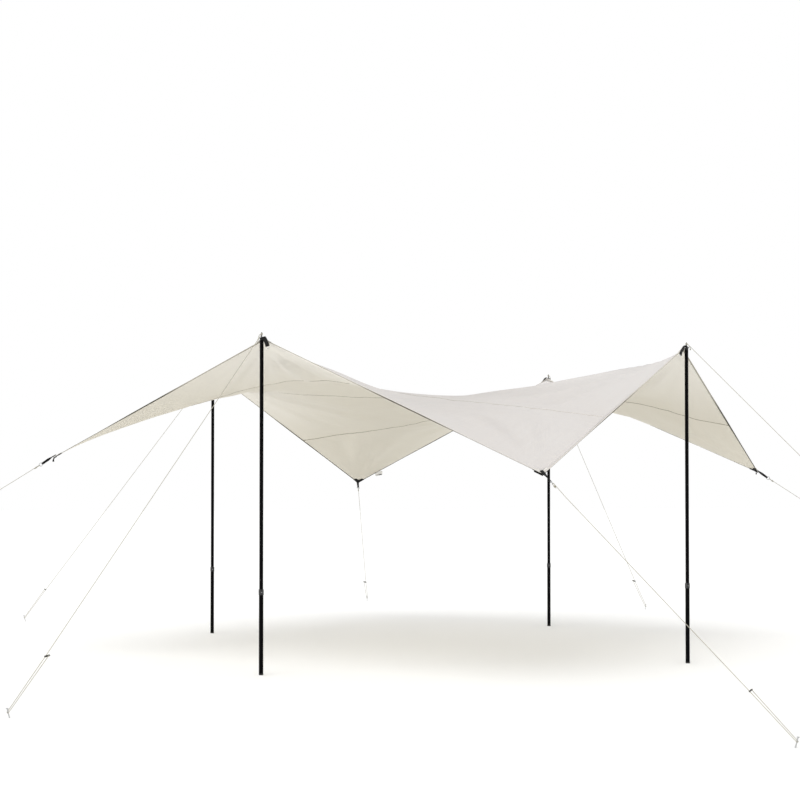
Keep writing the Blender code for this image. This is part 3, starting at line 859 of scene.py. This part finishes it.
def sewn_tape(root, along, face, sewn_from):
    """A straight length of cloth tape, and the box of thread that starts sewn_from its root."""
    points = [root + along * WEB_ARM * step / 8 for step in range(9)]
    start = root + along * sewn_from + face * WEB_THICKNESS / 2
    length = WEB_ARM - sewn_from - SEWN_MARGIN
    box = sewn_box(start, along, face.cross(along), face, length, WEB_WIDTH - SEWN_MARGIN)
    return strap(points, face, WEB_WIDTH, WEB_THICKNESS), box


def joined(meshes):
    """Several meshes as one, each with the map that it came with."""
    built = bmesh.new()
    for mesh in meshes:
        built.from_mesh(mesh)
    return finished(built, 50)


def round_section(radius, sides):
    """Outline of a round wire or cord."""
    turns = [math.tau * step / sides for step in range(sides)]
    return [(radius * math.cos(turn), radius * math.sin(turn)) for turn in turns]


def ring_mesh(centre, across, up, radius, wire):
    """A round wire ring in the plane of across and up."""
    axis = across.cross(up).normalized()
    turn = Matrix((across.normalized(), up.normalized(), axis)).transposed().to_4x4()
    profile = [(radius + x, y) for x, y in round_section(wire, 12)]
    return turned(profile, Matrix.Translation(centre) @ turn, 32, ring=True)


for pole in POLES:
    base, peak, out = pole_base(pole), apex(pole), outward(pole)
    inward = (Vector((0, 0, peak.z - 0.4)) - peak).normalized()
    level = POLE_TOP + GAP + WEB_THICKNESS / 2
    stand = Matrix.Translation(base + UP * level)
    ends = [base + UP * level, Vector((peak.x, peak.y, level))]
    link = strap(ends, UP, WEB_WIDTH, WEB_THICKNESS * 0.9)
    add_piece("pole_webbing_link_" + pole, link, web_finish, node="pole_webbing_" + pole)
    arms, threads = [], []
    for layer, corner in enumerate(SIDES[pole], 1):
        along = (CORNERS[corner] - peak).normalized()
        face = along.cross(inward)
        if face.z < 0:
            face.negate()
        lift = WEB_LIFT + layer * WEB_LAYER + WEB_THICKNESS / 2
        root = peak + face * lift - along * WEB_WIDTH / 2
        arm, thread = sewn_tape(root, along, face, POLE_TAPE_SEWN)
        arms.append(arm)
        threads.append(thread)
    add_piece("pole_edge_tapes_" + pole, joined(arms), tape_finish)
    tongue = turned(
        [
            (0.0062, 0.0014), (0.0192, 0.0014), (0.02, 0.0006),
            (0.02, -0.0006), (0.0192, -0.0014), (0.0062, -0.0014),
        ],
        stand,
        ring=True,
    )
    add_piece("webbing_tongue_" + pole, tongue, web_finish)
    add_piece("pole_thread_" + pole, joined(threads), pale_thread)
    grommet = turned(
        [
            (0.0056, 0.0019), (0.0068, 0.0024), (0.0088, 0.0024), (0.0098, 0.0016),
            (0.0098, 0.0012), (0.0064, 0.0012), (0.0064, -0.0014), (0.0098, -0.0014),
            (0.0098, -0.0018), (0.0056, -0.0018), (0.0052, -0.0012), (0.0052, 0.0013),
        ],
        stand,
        ring=True,
    )
    add_piece("grommet_" + pole, grommet, steel_finish)
    towards = CORNERS["front" if "front" in pole else "back"] - peak
    towards.z = 0
    towards.normalize()
    facing = (out + Vector((0, out.y, 0))).normalized()
    middles = [
        base + towards * run * TAIL_SPREADS[pole] + facing * off + UP * (POLE_TOP + rise)
        for run, off, rise in TAIL_HANG
    ]
    stations = []
    for number, (middle, ahead) in enumerate(zip(middles, headings(middles))):
        # The strap turns from lying across the pin to hanging with its broad face outwards.
        faced = min(ramp(number, 2, 4), 0.9)
        across = facing * (1 - faced) + ahead.cross(facing).normalized() * faced
        across = square_to(across, ahead)
        stations.append((middle, across, ahead.cross(across)))
    section = flat_section(TAIL_WIDTH, TAIL_THICKNESS, TAIL_PLY)
    beside = TAIL_THICKNESS + TAIL_FOLD_GAP
    folded = [(place + up * beside, across, up) for place, across, up in stations[-4:]]
    tail = joined([sweep(stations, section), sweep(folded, section)])
    add_piece("webbing_tail_" + pole, tail, web_finish)
    place, across, up = folded[0]
    pull = (folded[-1][0] - place).normalized()
    sewn = place + up * TAIL_THICKNESS / 2
    thread = sewn_box(sewn, pull, across, up, TAIL_SEWN, TAIL_WIDTH - SEWN_MARGIN)
    add_piece("tail_thread_" + pole, thread, thread_finish)
    ring_place = folded[-1][0] + pull * (TAIL_RING - TAIL_WIRE * 2)
    ring = ring_mesh(ring_place, across, pull, TAIL_RING, TAIL_WIRE)
    add_piece("tail_ring_" + pole, ring, steel_finish)

# The corner fittings: a black patch of the same webbing sewn under the cloth, with an arm along
# each edge and cloth tape on the upper face. A stem is sewn flat on the tapes, and past the tip it
# narrows and turns on its way over a plated steel ring and back. A short end hangs below.
STEM_LENGTH = 0.10
STEM_ROOT = 0.030
STEM_EASE = 0.0009
STEM_TURNS = {"left": 65, "front": -37, "right": -60, "back": 10}
STEM_TURNED_BY = 0.6
STEM_NARROWED = 0.62
RING_RADIUS = 0.014
RING_WIRE = 0.0025
PATCH_ARM = 0.084
PATCH_WIDTH = 0.028
PATCH_MIDDLE = 0.056
PATCH_TIP = 0.006
PATCH_TAPER = 0.004
PATCH_THICKNESS = 0.0022
PATCH_BELOW = 0.0026
PATCH_EASE = 0.0006
# The patch's rows of thread: where they start and stop short along an edge, and in from it.
PATCH_SEWN = (0.012, 0.02)
PATCH_MARGIN = 0.004
TAPE_PROUD = 0.002
CORNER_TAPE_SEWN = 0.03
LOOSE_WIDTH = 0.016
LOOSE_THICKNESS = 0.0046
LOOSE_EASE = 0.0012
# Where a loose end leaves its patch, in from the tip, and the lengths of its bends and its fall.
# The front one is folded flat along an edge instead: how far in from it, and how far along.
LOOSE_ENDS = {
    "left": (0.010, 0.008, 0.012), "right": (0.026, 0.006, 0.012), "back": (0.010, 0.006, 0.004),
}
LOOSE_TWISTS = {"left": math.radians(60), "right": math.radians(60), "back": 0.0}
LOOSE_FRONT_IN = 0.010
LOOSE_FRONT = (0.006, 0.024, 0.042, 0.060, 0.074)
STAKE_TO_POLE = 2.4
STAKE_LEAN = math.radians(20)
ROPE_ON_STAKE = 0.035
CORNER_STAKES = {
    "left": Vector((-5.5, 0, 0)),
    "front": Vector((0.6, -5.3, 0)),
    "right": Vector((5.5, 0, 0)),
    "back": Vector((0.6, 5.3, 0)),
}


def stake_foot(name):
    if name in CORNER_STAKES:
        return CORNER_STAKES[name]
    return pole_base(name) + outward(name) * STAKE_TO_POLE


def stake_way(name):
    """Level direction in which the rope pulls away from the tarp."""
    held = CORNERS[name] if name in CORNER_STAKES else pole_base(name)
    way = stake_foot(name) - held
    way.z = 0
    return way.normalized()


def rope_seat(name):
    """Where the rope's lower eye crosses the line of the stake."""
    lean = stake_way(name) * ROPE_ON_STAKE * math.tan(STAKE_LEAN)
    return stake_foot(name) + lean + UP * ROPE_ON_STAKE


def stem_frame(corner):
    """Direction of a corner's stem to its stake, and its upward face."""
    along = (rope_seat(corner) - CORNERS[corner]).normalized()
    return along, along.cross(UP.cross(along).normalized())


def corner_face(corner):
    """Upward normal of the plane of the two edges that meet at a corner."""
    first, second = (apex(side) - CORNERS[corner] for side, ends in SIDES.items() if corner in ends)
    face = first.cross(second).normalized()
    return face if face.z > 0 else -face


def ring_centre(corner):
    along, face = stem_frame(corner)
    reach = STEM_LENGTH + RING_RADIUS - RING_WIRE
    return CORNERS[corner] + along * reach + face * (WEB_LIFT + WEB_THICKNESS / 2)


def turned_face(corner, share=1.0):
    """The stem's upward face at a share of its way from the tip, where it lies as the cloth
    does, to the ring."""
    along, face = stem_frame(corner)
    plane = corner_face(corner)
    resting = math.atan2(plane.dot(along.cross(face)), plane.dot(face))
    part = ramp(share, 0, STEM_TURNED_BY)
    turn = resting + (math.radians(STEM_TURNS[corner]) - resting) * part * part * (3 - 2 * part)
    return Matrix.Rotation(turn, 3, along) @ face


def stem_stations(corner, along, plane, flat):
    """Stations of the stem: flat to the tip, out above the ring's wire, round it, and back
    below it."""
    ply = WEB_THICKNESS / 2 + GAP / 2
    tip = CORNERS[corner] + plane * (WEB_LIFT + WEB_LAYER + 2 * WEB_THICKNESS + GAP / 2)
    wire = ring_centre(corner) - along * RING_RADIUS
    wide = RING_WIRE + WEB_THICKNESS / 2 + GAP
    line = []
    for step in range(3):
        line.append((tip - flat * STEM_ROOT * (3 - step) / 3, plane, plane.cross(flat), ply))
    for step in range(11):
        share = step / 10
        normal = turned_face(corner, share)
        across = normal.cross(along) * (1 - (1 - STEM_NARROWED) * share)
        lift = ply + (wide - ply) * ramp(share, 2 / 3, 1 / 3)
        line.append((tip.lerp(wire, share), normal, across, lift))
    stations = [(place + normal * lift, across, normal) for place, normal, across, lift in line]
    for step in range(1, 8):
        angle = math.pi * step / 8
        up = normal * math.cos(angle) + along * math.sin(angle)
        stations.append((wire + up * wide, across, up))
    for place, normal, across, lift in reversed(line):
        stations.append((place - normal * lift, across, -normal))
    return stations


def eased(built, edges, size, segments):
    """Rounds edges of a shape."""
    bmesh.ops.bevel(
        built, geom=edges, offset=size, offset_type="OFFSET", segments=segments, profile=0.5,
        affect="EDGES", material=-1,
    )


def corner_patch(tip, arms, plane):
    """The patch under a corner: a band along each edge, its inner side cut in a wide V."""
    built = bmesh.new()
    uv_map = built.loops.layers.uv.new("run")
    middle = (arms[0] + arms[1]).normalized()
    outline = [tip - middle * PATCH_TIP]
    for edge, other in (arms, arms[::-1]):
        inwards = square_to(other, edge)
        far = tip + edge * PATCH_ARM
        ends = [far, far - edge * PATCH_TAPER + inwards * PATCH_WIDTH]
        outline += ends if edge is arms[0] else ends[::-1]
        if edge is arms[0]:
            outline.append(tip + middle * PATCH_MIDDLE)
    below = -plane * (PATCH_BELOW + PATCH_THICKNESS)
    corners = [built.verts.new(point + below) for point in outline]
    face = bmesh.ops.contextual_create(built, geom=corners)["faces"][0]
    across = plane.cross(middle)
    for loop in face.loops:
        loop[uv_map].uv = (loop.vert.co - tip).dot(middle), (loop.vert.co - tip).dot(across)
    grown = bmesh.ops.extrude_face_region(built, geom=[face])["geom"]
    raised = [part for part in grown if isinstance(part, bmesh.types.BMVert)]
    bmesh.ops.translate(built, verts=raised, vec=plane * PATCH_THICKNESS)
    level = [
        edge for edge in built.edges
        if abs((edge.verts[0].co - edge.verts[1].co).dot(plane)) < 0.0001
    ]
    eased(built, level, PATCH_EASE, 2)
    bmesh.ops.recalc_face_normals(built, faces=built.faces[:])
    return finished(built)


for corner, tip in CORNERS.items():
    along, plane = stem_frame(corner)[0], corner_face(corner)
    flat = square_to(along, plane)
    stations = stem_stations(corner, along, plane, flat)
    pieces = [sweep(stations, flat_section(WEB_WIDTH, WEB_THICKNESS, STEM_EASE))]
    place, across, up = stations[0]
    sewn = place + up * WEB_THICKNESS / 2 + flat * SEWN_MARGIN / 2
    width = WEB_WIDTH - SEWN_MARGIN
    threads = [sewn_box(sewn, flat, across, up, STEM_ROOT - SEWN_MARGIN, width)]
    edges = [(apex(pole) - tip).normalized() for pole, ends in SIDES.items() if corner in ends]
    pieces.append(corner_patch(tip, edges, plane))
    under = tip - plane * (PATCH_BELOW + PATCH_THICKNESS)
    tapes, tape_threads = [], []
    for layer, edge in enumerate(edges):
        inwards = square_to(edges[1 - layer], edge)
        root = tip + plane * (WEB_LIFT + layer * WEB_LAYER + WEB_THICKNESS / 2)
        root += inwards * (WEB_WIDTH / 2 - TAPE_PROUD)
        tape, thread = sewn_tape(root, edge, plane, CORNER_TAPE_SEWN)
        tapes.append(tape)
        tape_threads.append(thread)
        first = under + edge * PATCH_SEWN[0] + inwards * PATCH_MARGIN
        second = first + inwards * (PATCH_WIDTH - 2 * PATCH_MARGIN)
        rows = [(spot, spot + edge * (PATCH_ARM - PATCH_SEWN[1])) for spot in (first, second)]
        threads.append(stitches(rows, -plane))
    if corner == "front":
        # This one stands on its edge, flat against the arm beside it.
        inwards = square_to(edges[1], edges[0])
        place = under + inwards * LOOSE_FRONT_IN - plane * LOOSE_WIDTH / 2
        stations = [(place + edges[0] * run, plane, inwards) for run in LOOSE_FRONT]
    else:
        leaves, bend, fall = LOOSE_ENDS[corner]
        broad = UP.cross(flat).normalized()
        place = under - plane * LOOSE_THICKNESS / 2 - flat * leaves
        stations = [(place - flat * LOOSE_WIDTH, broad, plane), (place, broad, plane)]
        for share, length in ((0.25, bend), (0.5, bend), (0.8, bend), (1.0, fall)):
            ahead = flat.lerp(-UP, share).normalized()
            place = place + ahead * length
            twisted = Matrix.Rotation(LOOSE_TWISTS[corner] * share, 3, ahead) @ broad
            stations.append((place, twisted, ahead.cross(twisted)))
    pieces.append(sweep(stations, flat_section(LOOSE_WIDTH, LOOSE_THICKNESS, LOOSE_EASE)))
    add_piece("corner_edge_tapes_" + corner, joined(tapes), tape_finish)
    add_piece("corner_tape_thread_" + corner, joined(tape_threads), pale_thread)
    straps, node = joined(pieces), "corner_webbing_" + corner
    add_piece("corner_webbing_straps_" + corner, straps, web_finish, node=node)
    add_piece("corner_thread_" + corner, joined(threads), thread_finish)
    side = turned_face(corner).cross(along)
    ring = ring_mesh(ring_centre(corner), along, side, RING_RADIUS, RING_WIRE)
    add_piece("corner_ring_" + corner, ring, steel_finish)

# The tag: a blank loop of white satin ribbon, 80 mm wide, caught in the bound edge near the back
# corner and hanging 38 mm below it.
TAG_FROM_CORNER = 0.277
TAG_WIDTH = 0.08
TAG_THICKNESS = 0.0008
TAG_EASE = 0.0003
TAG_DROP = [
    (-0.002, 0.001), (0.001, -0.006), (0.004, -0.016), (0.005, -0.026), (0.004, -0.034),
    (0.0015, -0.038), (-0.0005, -0.0375), (-0.001, -0.030), (0.001, -0.018), (-0.001, -0.008),
    (-0.004, 0.0),
]

tag_finish = webbing_material("white_satin_ribbon", "#D9D8D5", "#E6E5E2")
edge = (apex("back_right") - CORNERS["back"]).normalized()
outside = edge.cross(UP).normalized()
if outside.y < 0:
    outside.negate()
middle = CORNERS["back"] + edge * TAG_FROM_CORNER
points = [middle + outside * off + UP * fall for off, fall in TAG_DROP]
stations = []
for point, ahead in zip(points, headings(points)):
    broad = square_to(edge, ahead)
    stations.append((point, broad, ahead.cross(broad)))
tag = sweep(stations, flat_section(TAG_WIDTH, TAG_THICKNESS, TAG_EASE))
add_piece("blank_edge_tag", tag, tag_finish)

# The guy ropes: 4 mm braided polyester cord. Each is hitched round the pole's pin or whipped
# round the corner's ring, runs straight to its stake, turns round it, and comes back to a flat
# nylon runner that grips it and sets the tension.
ROPE_RADIUS = 0.002
ROPE_SIDES = 10
KNOT_RADIUS = ROPE_RADIUS * 0.95
KNOT_SIDES = 8
TURN_STEPS = 12
EYE_LENGTH = 0.05
EYE_KNOT = 0.026
EYE_KNOT_TURNS = 4
HITCH_FOOT = 0.028
HITCH_STEPS = 30
# The free end of a hitch: along from the pin and up from the first turn.
HITCH_END = [(0.034, -0.036), (0.030, -0.020), (0.021, -0.006), (0.010, 0.0)]
END_KNOT_RADIUS = 0.0036
END_KNOT_RISE = 0.0024
STAKE_RADIUS = 0.004
STOPPER_FROM = 0.004
STOPPER_RADIUS = 0.0034
STOPPER_RISE = 0.0022
STOPPER_STEPS = 30
PAST_RUNNER = 0.012
RUNNER_UP = 0.42
RUNNER_HOLES = 0.022
RUNNER_SIZE = (0.038, 0.013, 0.0035)
RUNNER_CORNER = 0.0055
RUNNER_EASE = 0.0007
RUNNER_TILT = math.radians(24)
BRAID_PITCH = 0.012
BRAID_STRANDS = 4


def braid_material(name, colour, shade, fleck):
    """Braided polyester: two sets of strands that cross in a diamond every 6 mm, some of them
    darker, with painted shade in the hollows between the strands."""
    material, shader, add = new_material(name)
    uv = add("UVMap", uv_map="run")
    x, y, _ = add("SeparateXYZ", (uv,)).node.outputs
    along = add("Math", (x, math.tau / BRAID_PITCH), operation="MULTIPLY")
    round_way = add("Math", (y, BRAID_STRANDS / ROPE_RADIUS), operation="MULTIPLY")
    strands = []
    for operation in ("ADD", "SUBTRACT"):
        slant = add("Math", (along, round_way), operation=operation)
        strands.append(add("Math", (slant,), operation="SINE"))
    diamonds = add("Math", strands, operation="MULTIPLY")
    amount = add("MapRange", (diamonds, -1.0, 1.0))
    dark = add("Math", (strands[0], 0.93), operation="GREATER_THAN")
    # Painted shade: the diamonds' hollows take the shade colour and the raised strands the lighter
    # one.
    braid = {0: amount, 6: linear(shade), 7: linear(colour)}
    tones = (dark, add("Mix", braid, data_type="RGBA"), linear(fleck))
    surface(shader, add, tones, (amount, 0.0006, 0.8), {"Roughness": 0.75})
    return material


rope_finish = braid_material("braided_polyester_cord", "#B9B5A8", "#96917F", "#5C584C")


def cord_mesh(points, radius=KNOT_RADIUS, sides=KNOT_SIDES):
    """A round cord along points, its section carried along without twist."""
    stations = []
    across = None
    for point, ahead in zip(points, headings(points)):
        if across is None:
            across = ahead.cross(UP if abs(ahead.z) < 0.9 else Vector((1, 0, 0)))
        across = square_to(across, ahead)
        stations.append((point, across, ahead.cross(across)))
    return sweep(stations, round_section(radius, sides))


def coil(start, rise, wide, high, steps, turn=TURN_STEPS):
    """Points of a rope that winds round from start + wide towards high, rising by rise in each
    turn of so many steps."""
    points = []
    for step in range(steps + 1):
        angle = math.tau * step / turn
        points.append(start + rise * step / turn + wide * math.cos(angle) + high * math.sin(angle))
    return points


def half_turn(centre, along, across, radius):
    """Points of a rope's bend round a bar, coming and going along its way."""
    return coil(centre, Vector(), -across * radius, -along * radius, TURN_STEPS, 2 * TURN_STEPS)


for name in (*POLES, *CORNERS):
    if name in CORNERS:
        along, across = stem_frame(name)[0], turned_face(name)
        bar = ring_centre(name) + along * RING_RADIUS
        start = bar + along * EYE_LENGTH
        apart = 2 * ROPE_RADIUS + 2 * GAP
        beside = across * apart
        eye = [start - beside, bar + along * EYE_LENGTH * 0.6 - beside * 1.2]
        eye += half_turn(bar, along, across, RING_WIRE + ROPE_RADIUS + GAP)
        middle = start - along * EYE_KNOT - beside / 2
        wide = across * (apart / 2 + 2 * ROPE_RADIUS)
        high = across.cross(along).normalized() * 2 * ROPE_RADIUS
        winding = coil(middle, along * 2 * KNOT_RADIUS, wide, high, EYE_KNOT_TURNS * TURN_STEPS)
    else:
        along = stake_way(name)
        across = UP.cross(along)
        around = PIN_RADIUS + ROPE_RADIUS + GAP
        foot = pole_base(name) + UP * (POLE_TOP + HITCH_FOOT)
        eye = [foot - across * around + along * run + UP * rise for run, rise in HITCH_END]
        rise = UP * (2 * ROPE_RADIUS + GAP)
        eye += coil(foot, rise, -across * around, -along * around, HITCH_STEPS)
        start = eye[-1]
        wide, high = along * END_KNOT_RADIUS, across * END_KNOT_RADIUS
        winding = coil(eye[0] - UP * 0.001, -UP * END_KNOT_RISE, wide, high, STOPPER_STEPS)
    seat = rope_seat(name)
    pull = (start - seat).normalized()
    low_across = UP.cross(pull).normalized()
    lean = (stake_way(name) * math.sin(STAKE_LEAN) + UP * math.cos(STAKE_LEAN)).normalized()
    bend = STAKE_RADIUS / math.sin(pull.angle(lean)) + ROPE_RADIUS + GAP
    low_eye = half_turn(seat, pull, -low_across, bend)
    runner_place = seat + pull * RUNNER_UP
    back = runner_place - low_across * RUNNER_HOLES
    rise = [start.lerp(runner_place, step / 20) for step in range(1, 21)]
    down = [runner_place.lerp(low_eye[0], step / 8) for step in range(1, 8)]
    home = [low_eye[-1].lerp(back, step / 8) for step in range(1, 9)]
    home.append(back + pull * PAST_RUNNER)
    rope = cord_mesh(eye + rise + down + low_eye + home, ROPE_RADIUS, ROPE_SIDES)
    add_piece("braided_guy_rope_" + name, rope, rope_finish, node="guy_rope_" + name)
    wide, high = low_across * STOPPER_RADIUS, lean.cross(low_across) * STOPPER_RADIUS
    stopper = coil(back + pull * STOPPER_FROM, pull * STOPPER_RISE, wide, high, STOPPER_STEPS)
    knots = joined([cord_mesh(winding), cord_mesh(stopper)])
    add_piece("guy_knots_" + name, knots, rope_finish)
    plate = bmesh.new()
    bmesh.ops.create_cube(plate, size=1)
    bmesh.ops.scale(plate, verts=plate.verts[:], vec=RUNNER_SIZE)
    for upright, size, segments in ((True, RUNNER_CORNER, 6), (False, RUNNER_EASE, 2)):
        edges = []
        for edge in plate.edges:
            drop = abs(edge.verts[0].co.z - edge.verts[1].co.z)
            if drop > 0.001 if upright else drop < 0.0001:
                edges.append(edge)
        eased(plate, edges, size, segments)
    turn = Matrix((low_across, pull.cross(low_across).normalized(), pull)).transposed().to_4x4()
    middle = Matrix.Translation((runner_place + back) / 2)
    plate.transform(middle @ turn @ Matrix.Rotation(RUNNER_TILT, 4, "Y"))
    bmesh.ops.recalc_face_normals(plate, faces=plate.faces[:])
    add_piece("rope_runner_" + name, finished(plate, 38), plastic_finish)

# The stakes: round zinc-plated steel pins with a flat forged head, driven in leaning away from
# the tarp. Only what stands above the ground is made.
STAKE_HEIGHT = 0.06
STAKE_SIDES = 32
# From the head down: radius, and depth below the top.
STAKE_HEAD = [
    (0, 0), (0.0062, 0.0001), (0.0080, 0.0007), (0.0090, 0.0020), (0.0090, 0.0034),
    (0.0084, 0.0046), (0.0056, 0.0052), (0.0044, 0.0066), (STAKE_RADIUS, 0.0090),
]

for name in (*POLES, *CORNERS):
    profile = [(radius, STAKE_HEIGHT - depth) for radius, depth in STAKE_HEAD]
    stake = turned([*profile, (STAKE_RADIUS, 0), (0, 0)], Matrix(), STAKE_SIDES)
    way = stake_way(name) * math.tan(STAKE_LEAN)
    for vert in stake.vertices:
        vert.co += way * vert.co.z + stake_foot(name)
    add_piece("stake_pin_" + name, stake, steel_finish, node="stake_" + name)

# The studio: a pale matt floor that fades into a white surround, three large soft lamps far off,
# and the camera where the photograph was taken from.
floor_shape = bmesh.new()
bmesh.ops.create_grid(floor_shape, x_segments=1, y_segments=1, size=90)
floor = in_scene("studio_floor", finished(floor_shape))
floor_finish, floor_shader, _ = new_material("matt_white_floor")
set_inputs(floor_shader, {
    "Base Color": linear("#F6F6F5"), "Roughness": 0.95, "Specular IOR Level": 0.1,
})
floor.data.materials.append(floor_finish)

world = bpy.data.worlds.new("white_surround")
world.use_nodes = True
seen = add_node(world.node_tree, "LightPath", out="Is Camera Ray")
brightness = add_node(world.node_tree, "MapRange", {"Value": seen, "To Min": 0.80, "To Max": 1.0})
surround = {"Color": (1.0, 1.0, 1.0, 1.0), "Strength": brightness}
set_inputs(world.node_tree.nodes["Background"], surround)
bpy.context.scene.world = world
bpy.context.scene.view_settings.view_transform = "Standard"

for lamp_name, place, spread, power in (
    ("key_lamp", (-4.0, -6.0, 12.0), 45, 1.0),
    ("left_lamp", (-9.0, -2.5, 1.5), 15, 1.3),
    ("right_lamp", (9.0, -2.5, 1.5), 15, 1.1),
):
    # A far lamp, its spread in degrees, that shines from its place to the origin.
    lamp = bpy.data.lights.new(lamp_name, "SUN")
    lamp.angle = math.radians(spread)
    lamp.energy = power
    holder = in_scene(lamp_name, lamp)
    holder.location = place
    holder.rotation_euler = Vector(place).to_track_quat("Z", "Y").to_euler()

camera_data = bpy.data.cameras.new("photo_camera")
camera_data.lens = 68.04
camera_data.sensor_width = 36.0
camera_data.shift_y = 0.0729
camera_data.clip_end = 300.0
camera = in_scene("photo_camera", camera_data)
camera.location = (-3.13, -12.39, 1.31)
camera.rotation_euler = (math.radians(91.25), 0.0, math.radians(-13.15))
bpy.context.scene.camera = camera
